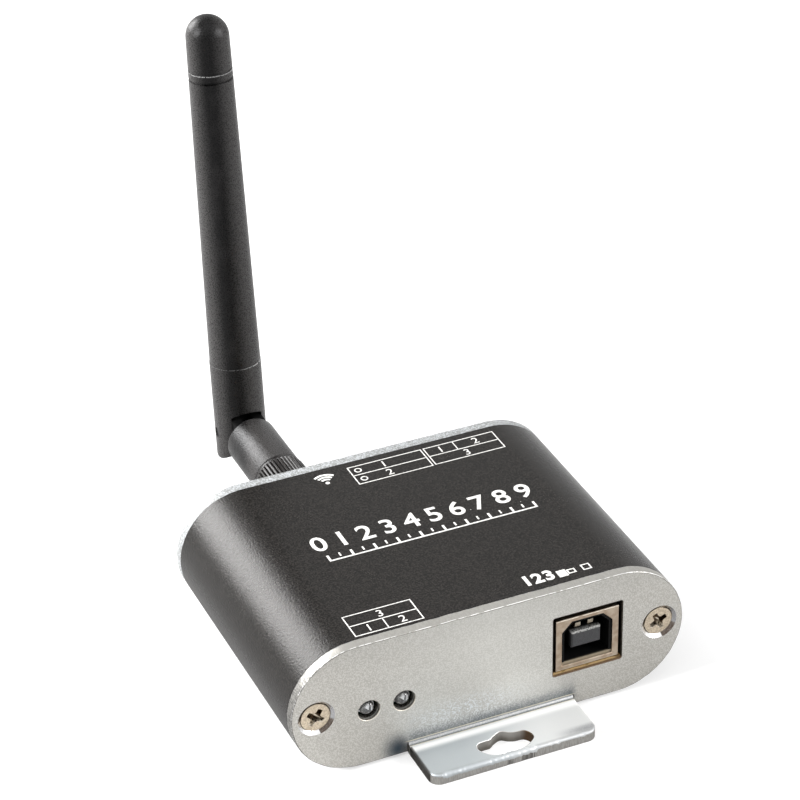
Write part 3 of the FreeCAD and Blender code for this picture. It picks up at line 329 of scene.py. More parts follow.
def ink_number(ink, number, x, y, height, weight=0.0):
    """A plain number of this height, its middle at x, y, from the built-in font."""
    curve = bpy.data.curves.new("number", "FONT")
    curve.body = str(number)
    curve.extrude = 0.02
    curve.offset = weight
    curve.resolution_u = 6
    letters = bpy.data.objects.new("number", curve)
    mesh = bpy.data.meshes.new_from_object(letters)
    spots = np.empty(len(mesh.vertices) * 3, np.float32)
    mesh.vertices.foreach_get("co", spots)
    spots = spots.reshape(-1, 3)
    low, high = spots.min(0), spots.max(0)
    flat = (spots[:, :2] - (low[:2] + high[:2]) / 2) * height / (high[1] - low[1]) + (x, y)
    level = np.where(spots[:, 2] > 0, INK_TOP, INK_LOW)
    faces = [list(face.vertices) for face in mesh.polygons]
    for corners in sorted({len(face) for face in faces}):
        ink.add(np.column_stack([flat, level]), [face for face in faces if len(face) == corners], False, 0)
    bpy.data.objects.remove(letters)
    bpy.data.meshes.remove(mesh)


ink = Skin()
for low, high in (MODE_FRAME, KEY_FRAME, LAMP_FRAME):
    ink_line(ink, frame_line(low, high), closed=True)
for divider in DIVIDERS:
    ink_line(ink, divider)
for middle in (21.8, 18.9):
    ink_line(ink, circle(-3.2, middle, 0.58, 24), 0.22, True)
for number, x, y in FRAME_NUMBERS:
    ink_number(ink, number, x, y, 1.8)
for number in range(10):
    x = SCALE_START + number * SCALE_STEP
    ink_number(ink, number, x, 3.2, 4.3, 0.012)
    ink_line(ink, [(x, -0.6), (x, -2.2)], 0.42)
    if number < 9:
        ink_line(ink, [(x + SCALE_STEP / 2, -0.6), (x + SCALE_STEP / 2, -1.6)], 0.3)
ink_line(ink, [(-18.8, -2.3), (20.75, -2.3)], 0.34)
for radius in (1.15, 1.9, 2.65):
    ink_line(ink, arc(*AERIAL_SIGN, radius, 44, 128, 18), 0.46)
ink_line(ink, circle(*AERIAL_SIGN, 0.2, 16), 0.38, True)
for number, x in ((1, 9.0), (2, 11.0), (3, 13.1)):
    ink_number(ink, number, x, -22.0, 2.9, 0.035)
ink_line(ink, [(14.6, -22.5), (16.3, -22.5)], 1.9)
ink_line(ink, frame_line((16.55, -23.0), (17.8, -22.0)), 0.26, True)
ink_line(ink, frame_line((19.3, -23.1), (20.7, -21.7)), 0.24, True)

white_ink = Finish("white_ink", {"Specular IOR Level": 0.4})
thin = white_ink.noise(0.4, 4.0)
white_ink.surface(white_ink.blend(thin.over(0.3, 0.6), (0.5, 0.49, 0.47), (0.82, 0.81, 0.78)),
                  0.45 + 0.2 * thin, thin, 0.01)
ink.piece("top_print", "enclosure", "black_aluminium", [white_ink])


# End plates
# Two plates of 2 mm aluminium are punched, blasted and left silver. Each has a foot bent outwards, with a
# keyhole for fixing. The rims show the punch's shear lines and their front edges are worn round. A bright
# line along the burrs is a painted highlight.

FACE, THICK, MIDDLE, ROUND, STRAIGHT, LIFT = 27.0, 2.0, 12.8, 12.3, 24.2, 0.5
FOOT_HALF, FOOT_END, FOOT_CORNER, BEND, BEND_TOP, SLIT = 15.5, 37.0, 2.0, 0.6, 2.6, 0.08
BEND_RUN = (BEND + THICK / 2) * np.pi / 2
FOOT_RUN = FOOT_END - FACE - BEND
KEYHOLE_Y, SCREW_X, SCREW_HOLE = 33.0, 32.0, 1.7
LAMP_X, LAMP_Z, LAMP_HOLE = (-22.55, -16.1), 11.45, 1.95
SOCKET_X, SOCKET_Z = 18.2, 13.5
AERIAL_X, AERIAL_Z, JACK_HOLE = -10.1, 12.8, 3.3
KEY_X, KEY_Z, KEY_HOLE = (13.0, 20.0), 12.25, 1.95
METAL = {"Metallic": 1.0}


def edge(front, back, steps=4):
    """A plate's rim as rows of inset, sink and side: a quarter circle from the front face, side 0, and one to
    the back face, side 1."""
    turn = np.linspace(0.0, np.pi / 2, steps + 1)
    near = np.stack([front * (1 - np.sin(turn)), front * (1 - np.cos(turn)), turn * 0], 1)
    far = np.stack([back * (1 - np.sin(turn)), back * (1 - np.cos(turn)), turn * 0 + 1], 1)
    return np.vstack([near, far[::-1]])


def rim(path, profile, thick=THICK, wear=1.0, push=0.0, closed=True):
    """A profile carried along a line with the metal on its left. Wear widens the rounding at each point, and
    push moves the rim outwards. The last number of each point is its depth below the front face."""
    inset, sink, side = np.asarray(profile, float).T
    wear = np.broadcast_to(wear, len(path))[:, None]
    push = np.broadcast_to(push, len(path))[:, None]
    shrink = inset * wear - push * (inset < 0.05)
    depth = np.where(side > 0, thick - sink * wear, sink * wear)
    flat = path[:, None, :] + inward(path, closed)[:, None, :] * shrink[..., None]
    return np.concatenate([flat, depth[..., None]], -1)


def dense(path, step):
    """The same closed line with points no further apart than a step."""
    run = np.roll(path, -1, 0) - path
    count = np.maximum(1, np.ceil(np.linalg.norm(run, axis=1) / step)).astype(int)
    first = np.repeat(np.arange(len(path)), count)
    share = (np.arange(count.sum()) - np.repeat(np.cumsum(count) - count, count)) / count[first]
    return path[first] + run[first] * share[:, None]


def uneven(count, every, seed):
    """Chance values from 0 to 1 along a closed line, one new value every so many points."""
    values = np.random.default_rng(seed).random(max(3, count // every))
    place = np.arange(count) / count * len(values)
    return np.interp(place, np.arange(len(values) + 1), np.append(values, values[0]))


def stand(points, turn):
    """From x, height and depth on the flat plate to its place at the front, or with turn -1 at the rear."""
    x, level, depth = np.moveaxis(points, -1, 0)
    return np.stack([x * turn, (depth - FACE) * turn, level], -1)


def fold(points, turn):
    """The same for the foot, whose flat length runs down from the bend: round the bend's centre, then out."""
    x, run, depth = np.moveaxis(points, -1, 0)
    angle = np.clip(-run / BEND_RUN, 0.0, 1.0) * np.pi / 2
    out = np.maximum(-run - BEND_RUN, 0.0)
    y = -FACE - BEND + (BEND + depth) * np.cos(angle) - out
    return np.stack([x * turn, y * turn, BEND_TOP - (BEND + depth) * np.sin(angle)], -1)


def keyhole(level):
    """The worn hole, walked clockwise about the screw's place at this level. Between two spots it is the
    cubic whose slope at each is half of the step between the spot's neighbours."""
    spots = np.array([(-5.42, -0.3), (-4.9, 1.05), (-3.6, 1.3), (-2.5, 1.35), (-1.4, 2.1), (0.0, 2.58),
                      (1.1, 1.85), (2.2, 1.4), (3.7, 1.2), (4.5, 0.1), (4.45, -1.2), (2.9, -2.45),
                      (1.0, -3.14), (-0.9, -3.2), (-2.7, -2.95), (-4.3, -2.15)])
    before, after, last = np.roll(spots, 1, 0), np.roll(spots, -1, 0), np.roll(spots, -2, 0)
    share = np.linspace(0.0, 1.0, 7)[:-1, None, None]
    bent = 2 * before - 5 * spots + 4 * after - last
    turning = 3 * spots - before - 3 * after + last
    line = spots + 0.5 * share * (after - before + share * (bent + share * turning))
    return line.transpose(1, 0, 2).reshape(-1, 2) + (0.0, level)


def end_plate(name, node, turn, holes, seed):
    """The sheet and the foot, each a pair of flat faces with a rim along its outline and holes."""
    skin = Skin()
    slit = FOOT_HALF + SLIT
    outline = np.vstack([arc(STRAIGHT, MIDDLE, ROUND, -90, 90, 60),
                         arc(-STRAIGHT, MIDDLE, ROUND, 90, 270, 60),
                         [(-slit, LIFT), (-slit, BEND_TOP), (slit, BEND_TOP), (slit, LIFT)]])
    outline = dense(outline, 0.45)
    seam = (abs(outline[:, 1] - BEND_TOP) < 0.01) & (abs(outline[:, 0]) < FOOT_HALF + 0.2)
    count = len(outline)
    wear = np.where(seam, 0.0, 0.55 + 0.6 * uneven(count, 9, seed) + 0.35 * uneven(count, 2, seed + 1))
    push = np.where(seam, 0.0, -0.05 * uneven(count, 3, seed + 2) ** 2)
    countersink = [(1.62, 0, 0), (1.56, 0.015, 0), (1.5, 0.07, 0), (0, 1.55, 0), (0, 0.06, 1), (0.06, 0, 1)]
    rims = [(rim(outline, edge(0.17, 0.07), THICK, wear, push), 1)]
    rims += [(rim(circle(side * SCREW_X, MIDDLE, SCREW_HOLE, way=-1), countersink), 2) for side in (1, -1)]
    rims += [(rim(path, edge(size, 0.06)), 3) for path, size in holes]
    for ring, slot in rims:
        skin.grid(stand(ring, turn), True, slot=slot)
    for layer in (0, -1):
        skin.face(*[stand(ring[:, layer], turn) for ring, _ in rims])

    def straight(x, runs):
        """Points down the foot, all at one x."""
        return np.column_stack([np.full(len(runs), x), runs])

    bend = np.linspace(0.0, -BEND_RUN, 11)
    end, inner = -BEND_RUN - FOOT_RUN, FOOT_HALF - FOOT_CORNER
    front = np.arange(-inner, inner, 0.22)[1:]
    side_run = np.linspace(-BEND_RUN, end + FOOT_CORNER, 20)[1:-1]
    path = np.vstack([straight(-FOOT_HALF, bend), straight(-FOOT_HALF, side_run),
                      arc(-inner, end + FOOT_CORNER, FOOT_CORNER, 180, 270, 14),
                      np.column_stack([front, np.full(len(front), end)]),
                      arc(inner, end + FOOT_CORNER, FOOT_CORNER, 270, 360, 14),
                      straight(FOOT_HALF, side_run[::-1]), straight(FOOT_HALF, bend[::-1])])
    count = len(path)
    x, run = path.T
    at_front = run < end + 0.01
    rolled = np.interp(x, [-11.0, -9.0, 3.2, 3.7, 3.9, 4.3], [1.5, 1.8, 1.7, 1.9, 0.5, 0.9])
    roll = np.where(at_front, rolled, 0.9)
    roll = roll * np.interp(-run, [0.0, BEND_RUN, BEND_RUN + 1.5], [0.2, 0.3, 1.0])
    dents = 0.75 * uneven(count, 2, seed + 4) ** 2 + 0.15 * uneven(count, 5, seed + 3)
    roll += np.where(at_front, dents, 0.0)
    torn = at_front & (((x > -1.7) & (x < -0.6)) | ((x > 0.9) & (x < 3.5)))
    push = np.where(run > -BEND_RUN, 0.0, -0.12 * np.where(torn, 1.0, 0.1) * uneven(count, 1, seed + 5))
    strip = rim(path, edge(0.4, 0.05, 6), THICK, roll, push, False)
    # The first rows of the lower edge keep their depth, however wide the roll above them is.
    strip[:, 7:9, 2] = THICK - np.array([0.1, 0.05])
    hole = rim(keyhole(end + FOOT_END - KEYHOLE_Y), edge(0.1, 0.06))
    skin.grid(fold(strip[:, :7], turn))
    skin.grid(fold(strip[:, 6:], turn), slot=1)
    skin.grid(fold(hole, turn), True, slot=3)
    for layer in (0, -1):
        skin.grid(fold(np.stack([strip[:11, layer], strip[-11:, layer][::-1]], 1), turn))
        skin.face(fold(strip[10:-10, layer], turn), fold(hole[:, layer], turn))
    skin.face(fold(np.vstack([strip[0], strip[-1][::-1]]), turn))
    skin.piece(name, "enclosure", "plate_aluminium", [blasted, sheared, machined, punched], node)


# The wall is frosted above the foot and darker low above it, with painted shade at the bend and at its lower
# left corner, and painted highlights along the bend's edges. The foot's top has a painted highlight along the
# bend, and a painted reflection that darkens it to the left and on its left side.
blasted = Finish("blasted_aluminium", {})
x, z = blasted.x, blasted.z
grit = blasted.noise(0.22, 2.0)
clouds = blasted.noise(4.0, 4.0, (1.6, 1.0, 0.7))
out = abs(blasted.y) - FACE
on_foot = out.over(0.5, 0.8)
by_foot = 1 - abs(x).over(FOOT_HALF - 0.6, FOOT_HALF + 1.2)
pits = blasted.noise(0.24, 2.0)
frost = z.near(6.2, 4.4) * x.near(-5.0, 16.0) * (0.6 + 0.5 * clouds) * pits.over(0.46, 0.6)
# Painted shade above the bend and at the wall's lower left corner, laid over the wall's colour below.
bend_shade = z.near(BEND_TOP, 3.1) * by_foot * (0.75 + 0.4 * clouds) - pits.over(0.45, 0.6) * 0.25
corner_shade = x.near(-17.4, 4.0) * z.near(1.8, 4.2) * 0.95
wall = blasted.blend(x.near(1.0, 30.0), (0.465, 0.45, 0.415), (0.57, 0.562, 0.526))
wall = wall.under(grit.over(0.4, 0.62) * 0.42, (0.82, 0.81, 0.785))
wall = wall.under(z.over(18.0, 25.0) * 0.12, (0.2, 0.2, 0.2))
wall = wall.under((1 - z.over(4.0, 9.5)) * by_foot * 0.22, (0.2, 0.2, 0.21))
wall = wall.under(frost * 0.68, (0.86, 0.91, 0.95))
wall = wall.under((bend_shade * 0.75).most(corner_shade), (0.05, 0.075, 0.1))
# Painted highlight: bright lines along both edges of the bend.
fold_line_highlights = (z.near(BEND_TOP + 0.05, 0.12) * (1 - out.over(0.05, 0.1))).most(
    out.near(BEND + 0.05, 0.12) * (1 - z.over(2.05, 2.1)))
in_fold = out.near(0.2, 0.35) * z.near(2.35, 0.4)
# Painted reflection: the foot's top is darker towards the left and lighter towards the right.
top = blasted.blend(x.over(-9.0, 9.0), (0.47, 0.505, 0.525), (0.73, 0.745, 0.75))
# Painted highlight: the foot's top is near white along the bend.
bend_highlight = out.near(1.5, 1.5)
top = top.under(bend_highlight, (0.9, 0.905, 0.9))
# A darker patch on the foot's top near its front edge, at the right.
dark_front_patch = x.over(7.0, 13.5) * out.near(8.7, 1.6) * (0.35 + 0.5 * pits)
top = top.under(dark_front_patch, (0.16, 0.17, 0.19))
top = top.under(out.over(8.9, 9.5) * 0.35, (0.3, 0.305, 0.31))
# Painted reflection: the foot's left side and its rounding are near black.
left_side_painted_reflection = (1 - x.over(-15.42, -15.1)) * out.over(0.7, 1.0) * (1 - out.over(8.6, 9.2))
top = top.under(left_side_painted_reflection * 0.9, (0.03, 0.024, 0.02))
metal = blasted.blend(on_foot, wall, top)
glitter = blasted.blend(grit, (0.3, 0.3, 0.31), (0.8, 0.8, 0.8))
metal = metal.under(in_fold * by_foot * 0.7, glitter)
# The foot's top is less metallic along the bend and towards the right, for its painted highlight and
# reflection.
blasted.use("Metallic", 1 - on_foot * (bend_highlight * 0.6 + 0.15 + 0.25 * x.over(-4.0, 8.0)))
blasted.surface(blasted.blend(fold_line_highlights * by_foot * 0.8, metal, (0.98, 0.9, 0.72)),
                0.44 + 0.1 * grit + 0.1 * clouds, grit, 0.014)

sheared = Finish("sheared_edge", {})
lies = (abs(sheared.y) - FACE).over(0.5, 0.8)
stands = 1 - lies
lines = (sheared.noise(0.16, 3.0, (1.0, 1.0, 7.0)) * lies
         + sheared.noise(0.2, 3.0, (1.0, 4.0, 1.0)) * stands)
depth = FACE - abs(sheared.y)
chance = sheared.noise(0.8, 3.0)
lip = sheared.blend(lines.over(0.3, 0.7), (0.3, 0.29, 0.275), (0.42, 0.41, 0.39))
cut = sheared.blend(lines.over(0.3, 0.7), (0.35, 0.34, 0.315), (0.41, 0.4, 0.375)).under(lies, lip)
# Painted highlight: a broken near white line along the burr, just behind the rim's front edge.
cut = cut.under(depth.near(0.12, 0.09) * chance.over(0.42, 0.5), (0.97, 0.97, 0.97))
cut = cut.under(depth.near(0.0, 0.045) * 0.8, (0.06, 0.055, 0.05))
torn = (1 - abs(sheared.x - 2.2).over(1.2, 1.35)).most(1 - abs(sheared.x + 1.15).over(0.45, 0.55))
notches = sheared.noise(0.13, 1.0, (1.0, 60.0, 60.0)).over(0.42, 0.55)
cut = cut.under(torn * lies * notches * 0.7, (0.05, 0.045, 0.04))
# Painted shade: a dark broken line along the rim's back edge, in the gap to the case.
back_gap_shade = depth.near(1.95, 0.15) * stands * chance.over(0.5, 0.55)
cut = cut.under(back_gap_shade * 0.8, (0.05, 0.06, 0.08))
# Painted reflection: the foot's left cut face is near black.
cut = cut.under((1 - sheared.x.over(-15.45, -15.3)) * lies * 0.93, (0.02, 0.016, 0.012))
# Painted shade: the rim darkens on its left arc to tone down the lamp's highlight there.
left_rim_shade = (1 - sheared.x.over(-34.0, -22.0)) * stands * (0.35 + 0.5 * lines.over(0.44, 0.56))
cut = cut.under(left_rim_shade, (0.09, 0.088, 0.085))
# Painted shade: the rear rim is a darker, non-metallic copy of the cut, so the back lamp doesn't blow it out.
on_rear = sheared.y.over(0.0, 1.0) * stands
rear_cut_shaded = sheared.blend(sheared.noise(0.28, 3.0).over(0.46, 0.58), (0.2, 0.205, 0.2), (0.42, 0.435, 0.45))
cut = cut.under(on_rear, rear_cut_shaded)
sheared.use("Metallic", 1 - on_rear)
sheared.surface(sheared.blend(sheared.specks(2.4, 0.2, 0.08) * stands, cut, (0.97, 0.96, 0.93)),
                0.4 + 0.15 * lines, lines, 0.02)


def beside_screw(finish):
    """How far to the right of the nearer screw's axis a point is."""
    return finish.x - finish.x.math("SIGN") * SCREW_X


machined = Finish("machined_cone", METAL)
turning = machined.noise(0.09, 2.0, (6.0, 1.0, 6.0))
# Painted reflection round the countersink, by angle about the screw: white at the bottom and lower left, dark
# at the lower right and across the top, grey at the right.
around_cone = (machined.z - MIDDLE).math("ARCTAN2", beside_screw(machined))
cone_painted_reflection = machined.blend(around_cone.over(-1.4, -1.34), (0.9, 0.9, 0.9), (0.1, 0.075, 0.06))
cone_painted_reflection = cone_painted_reflection.under(around_cone.over(-0.4, -0.25), (0.36, 0.36, 0.37))
cone_painted_reflection = cone_painted_reflection.under(around_cone.over(0.9, 1.2), (0.07, 0.055, 0.045))
machined.surface(machined.blend(turning.over(0.3, 0.7) * 0.15, cone_painted_reflection, (0.6, 0.58, 0.55)),
                 0.2 + 0.12 * turning, turning, 0.012)

punched = Finish("punched_hole", {})
x, z = punched.x, punched.z
streaks = punched.noise(0.18, 3.0, (1.0, 1.0, 5.0))
lies = (abs(punched.y) - FACE).over(1.0, 2.0)
depth = FACE - abs(punched.y)
# Painted shade: the walls inside the socket's cut-out are near black.
inner = punched.blend(streaks.over(0.3, 0.7), (0.03, 0.025, 0.02), (0.07, 0.06, 0.05))
# Painted highlight on the cut-out's bottom sill: gold and not metallic in the middle of its depth, and dark
# brown at its front and back as painted shade.
sill = (1 - z.over(7.75, 7.95)) * (1 - lies)
amber = punched.noise(0.3, 3.0, (4.0, 1.0, 1.0)).over(0.3, 0.5)
sill_painted_highlight = punched.blend(amber, (0.4, 0.24, 0.1), (0.95, 0.68, 0.34))
inner = inner.under(sill, punched.blend(depth.near(0.75, 0.6), (0.1, 0.055, 0.025), sill_painted_highlight))
in_lamp_hole = 1 - x.over(-5.0, 0.0)
# Painted light in the lamp holes: the bore is lighter mid-depth, and its lower front rim is a near white
# painted highlight.
bore = punched.blend(streaks.over(0.3, 0.7), (0.06, 0.055, 0.05), (0.5, 0.47, 0.42))
bore = bore.under(depth.near(0.6, 0.3), (0.9, 0.88, 0.84))
inner = inner.under(in_lamp_hole, bore)
lower = 1 - z.over(10.6, 11.4)
inner = inner.under(in_lamp_hole * lower * (1 - depth.over(0.03, 0.06)), (0.8, 0.75, 0.66))
# Painted shade and highlight in the foot's keyhole: its walls darken towards the bottom and at the right end,
# with a white line along the top left edge.
key = punched.blend(z.over(0.2, 1.9), (0.24, 0.225, 0.2), (0.48, 0.465, 0.44))
key = key.under(x.over(3.0, 4.2), (0.12, 0.08, 0.05))
key = key.under(z.near(1.97, 0.09) * (1 - x.over(-2.0, 1.0)), (1.0, 1.0, 1.0))
punched.use("Metallic", 1 - sill)
punched.surface(punched.blend(lies, inner, key), 0.35 + 0.2 * streaks, streaks, 0.02)

socket_hole = np.vstack([arc(SOCKET_X + x * 6.2, SOCKET_Z + z * 5.7, 0.3, start, start + 90, 5)
                         for x, z, start in ((1, 1, 0), (-1, 1, 90), (-1, -1, 180), (1, -1, 270))])[::-1]
front_holes = [(dense(socket_hole, 0.6), 0.2)]
front_holes += [(circle(x, LAMP_Z, LAMP_HOLE, 56, -1), 0.14) for x in LAMP_X]
end_plate("front_plate_skin", "front_plate", 1, front_holes, 11)
rear_holes = [(circle(-AERIAL_X, AERIAL_Z, JACK_HOLE, way=-1), 0.12)]
rear_holes += [(circle(-x, KEY_Z, KEY_HOLE, 56, -1), 0.1) for x in KEY_X]
end_plate("rear_plate_skin", "rear_plate", -1, rear_holes, 47)


# Plate screws
# Four countersunk M3 screws of nickel-plated steel with a cross recess hold the plates in the box's ports.
# The recess is pressed, so its walls slope and its upper edge is drawn in a little.

HEAD, SHANK, SUNK = 2.65, 1.5, 0.38


def cross(turn):
    """The recess's outline, walked clockwise: four arms with rounded inner corners."""
    half, arm, inner = 0.36, 1.55, 0.85
    quarter = np.array([(arm, -half), (arm + 0.06, 0.0), (arm, half), (inner, half + 0.05),
                        (half + 0.18, half + 0.18), (half + 0.05, inner)])
    angle = np.radians(turn + np.arange(4) * 90)[:, None]
    x, y = quarter.T
    line = np.stack([x * np.cos(angle) - y * np.sin(angle), x * np.sin(angle) + y * np.cos(angle)], -1)
    return line.reshape(-1, 2)[::-1]


def screw(node, side, end, turn):
    """A round head with a cone and shank below it, and the recess's walls and floor."""
    skin = Skin()
    place = np.array([side * SCREW_X * -end, MIDDLE])
    under_head = HEAD - SHANK
    head_and_shank = [(0.16, 0, 0), (0.06, 0.02, 0), (0, 0.1, 0), (under_head, 1.25, 0), (under_head, 8.0, 0)]
    outer = rim(circle(*place, HEAD), head_and_shank)
    walls = rim(cross(turn) + place, [(0.1, 0, 0), (0.03, 0.02, 0), (0, 0.09, 0), (-0.13, 0.95, 0)])
    outer[..., 2] += SUNK
    walls[..., 2] += SUNK
    skin.grid(stand(outer, -end), True)
    skin.grid(stand(walls, -end), True, slot=1)
    skin.face(stand(outer[:, 0], -end), stand(walls[:, 0], -end))
    skin.face(stand(outer[:, -1], -end))
    skin.face(stand(walls[:, -1], -end), slot=1)
    skin.piece(f"{node}_skin", "enclosure", "screw_nickel", [nickel, recess], node)


nickel = Finish("screw_nickel_plate", METAL)
wear_and_highlight = nickel.noise(0.3, 4.0)
nickel.surface(nickel.blend(wear_and_highlight.over(0.3, 0.7), (0.5, 0.415, 0.31), (0.74, 0.64, 0.5)),
               0.25 + 0.2 * wear_and_highlight, wear_and_highlight, 0.03)

recess = Finish("screw_recess", {})
recess_mottle = recess.noise(0.3, 3.0)
# Painted shade: the recess is a mottled brown-black, far darker than the head.
pressed = recess.blend(recess_mottle.over(0.35, 0.6), (0.02, 0.013, 0.008), (0.12, 0.08, 0.045))
# Painted highlights: glints low in the recess, and a diagonal streak on its floor.
glint = recess.z.near(11.6, 0.7) * recess_mottle.over(0.35, 0.5)
bottom = (FACE - abs(recess.y)).over(SUNK + 0.88, SUNK + 0.92)
floor_glint_streak = (beside_screw(recess) + recess.z).near(MIDDLE + 0.15, 0.32)
floor_glint_streak = floor_glint_streak * (1 - recess.z.over(MIDDLE - 0.1, MIDDLE + 0.3))
glint = (glint * 0.8).most(bottom * floor_glint_streak)
recess.use("Metallic", (1 - glint).most(bottom))
recess.surface(recess.blend(glint, pressed, (0.98, 0.9, 0.75)), 0.25 + 0.2 * recess_mottle, recess_mottle, 0.02)

screw("front_screw_left", -1, -1, 55.0)
screw("front_screw_right", 1, -1, 26.0)
screw("rear_screw_left", -1, 1, 68.0)
screw("rear_screw_right", 1, 1, 31.0)


# Board and its parts
# A green glass-fibre board slides in the box's lower rails. It carries a radio module under a tinned can, a
# serial chip, a regulator, a crystal, a capacitor and small chip parts, all machine soldered.


def mottled(name, dark, light, rough, size, depth, constants=None, detail=3.0):
    """A finish that wavers between two colours in spots of this size, with a relief of this depth."""
    finish = Finish(name, constants or {})
    spots = finish.noise(size, detail)
    finish.surface(finish.blend(spots.over(0.3, 0.7), dark, light), rough + 0.15 * spots, spots, depth)
    return finish


board_mask = mottled("green_board", (0.008, 0.06, 0.03), (0.014, 0.09, 0.045), 0.25, 1.1, 0.01)
tinned = mottled("tinned_metal", (0.55, 0.55, 0.54), (0.72, 0.72, 0.7), 0.22, 0.6, 0.008, METAL)
chip = mottled("moulded_chip", (0.012, 0.012, 0.013), (0.022, 0.022, 0.023), 0.5, 0.2, 0.01)
tan = mottled("fired_ceramic", (0.3, 0.2, 0.12), (0.4, 0.28, 0.17), 0.4, 0.2, 0.01)
gilt = mottled("gold_flash", (0.75, 0.5, 0.2), (0.9, 0.66, 0.32), 0.2, 0.3, 0.006, METAL)
dress(board_mask, 0, "main_board", "module_board")
dress(tinned, 0, "module_shield", "bridge_chip_legs", "clock_crystal", "regulator_legs", "capacitor_can",
      "lamp_leads", "socket_pins")
dress(chip, 0, "radio_chip", "bridge_chip", "regulator", "capacitor_base", "chip_resistors")
dress(tan, 0, "chip_capacitors")


# Front socket
# A square socket with a folded shell of nickel-plated steel, whose mouth has two cut corners. Inside it is a
# black moulded block with a tongue, and gold-flashed leaves show at the tongue's top and bottom.

shell = Finish("socket_shell_metal", METAL)
brushed = shell.noise(0.14, 3.0, (5.0, 5.0, 1.0))
stain = shell.noise(1.6, 3.0)
# Painted highlights along the shell's upper and lower front folds.
upper_fold_highlight = shell.z.near(18.6, 0.16) * (1 - shell.y.over(-26.6, -26.3)) * brushed.over(0.4, 0.5)
lower_fold_highlight = shell.z.near(8.38, 0.1) * (1 - shell.y.over(-26.75, -26.6)) * 0.7
stained = shell.blend(stain.over(0.35, 0.65), (0.4, 0.305, 0.225), (0.53, 0.44, 0.345))
shell.surface(shell.blend(upper_fold_highlight.most(lower_fold_highlight), stained, (1.0, 0.93, 0.8)),
              0.24 + 0.14 * brushed, brushed, 0.01)

moulded = Finish("socket_moulding", {"Specular IOR Level": 0.12})
pitted = moulded.noise(0.25, 3.0)
tongue = 1 - abs(moulded.x - SOCKET_X).over(2.75, 2.85)
tongue = tongue * (1 - abs(moulded.z - SOCKET_Z).over(1.55, 1.65)) * (1 - moulded.y.over(-26.0, -25.0))
# Painted highlight along the top edge of the tongue's front.
wear_and_highlight = moulded.z.over(14.75, 14.95) * pitted.over(0.3, 0.6)
end_grain = moulded.blend(pitted, (0.04, 0.04, 0.042), (0.085, 0.085, 0.088))
end_grain = end_grain.under(wear_and_highlight, (0.5, 0.5, 0.48))
# Painted shade: the moulding inside the mouth is near black, with a painted highlight on its bottom ledge
# near the front.
lip = (1 - moulded.z.over(9.55, 9.7)) * (1 - moulded.y.over(-26.6, -26.1))
hollow_painted_shade = moulded.blend(lip, (0.003, 0.003, 0.003), (0.3, 0.25, 0.18))
moulded.surface(moulded.blend(tongue, hollow_painted_shade, end_grain), 0.45 + 0.15 * pitted, pitted, 0.012)
dress(shell, 0.3, "socket_shell")
dress(moulded, 0.08, "socket_insulator")
dress(gilt, 0.05, "socket_contacts")

LEAF_END, LEAF_LEVEL = -25.0, 16.1
# The raised tips are a mottled beige, not metallic.
beige_tip = mottled("contact_tip", (0.26, 0.22, 0.165), (0.42, 0.37, 0.29), 0.35, 0.3, 0.01)


def contact_tip(label, x):
    """The raised end of a leaf: an arc of radius 0.8 from -90 to 20 degrees, whose depth is drawn in to 0.7
    of it, and the same arc 0.15 inside it."""
    bent = np.radians(np.linspace(-90.0, 20.0, 12))
    outer, inner = [np.stack([LEAF_END - 0.7 * r * np.cos(bent), LEAF_LEVEL + r * np.sin(bent)], 1)
                    for r in (0.8, 0.65)]
    side = np.vstack([outer, inner[::-1]])
    wide = x + np.array([-0.5, 0.5])
    points = np.stack([np.column_stack([np.full(len(side), spot), side]) for spot in wide], 1)
    tip = Skin()
    tip.grid(points, True)
    tip.face(points[:, 0])
    tip.face(points[:, 1])
    tip.piece(label, "enclosure", "contact_gold", [beige_tip])


for label, side in (("contact_tip_left", -1.2), ("contact_tip_right", 1.2)):
    contact_tip(label, SOCKET_X + side)


# Lamps
# Two clear 3 mm lamps stand just behind the front plate's holes. Inside each, a small metal cup holds the
# light chip on the end of one lead, and a post stands beside it. Cup and post are near white, partly a
# painted highlight, and a thin bright arc in each lamp is a painted highlight.

PLAIN_CUT = [(0, 0, 0), (0, 0, 1)]
CUP_AND_POST = (((-0.45, 0.1), (0.1, -0.35), (0.25, 0.35), (0.0, 0.62), (-0.25, 0.3)),
                ((0.42, -0.5), (0.62, -0.4), (0.72, 0.35), (0.5, 0.5)))

clear = Finish("lamp_epoxy", {"Transmission Weight": 0.92, "IOR": 1.5})
haze = clear.noise(0.6, 2.0)
clear.surface(clear.blend(haze, (0.9, 0.92, 0.92), (0.98, 0.98, 0.97)), 0.03 + 0.08 * haze, haze, 0.006)
dress(clear, 0, "outer_lamp", "inner_lamp")

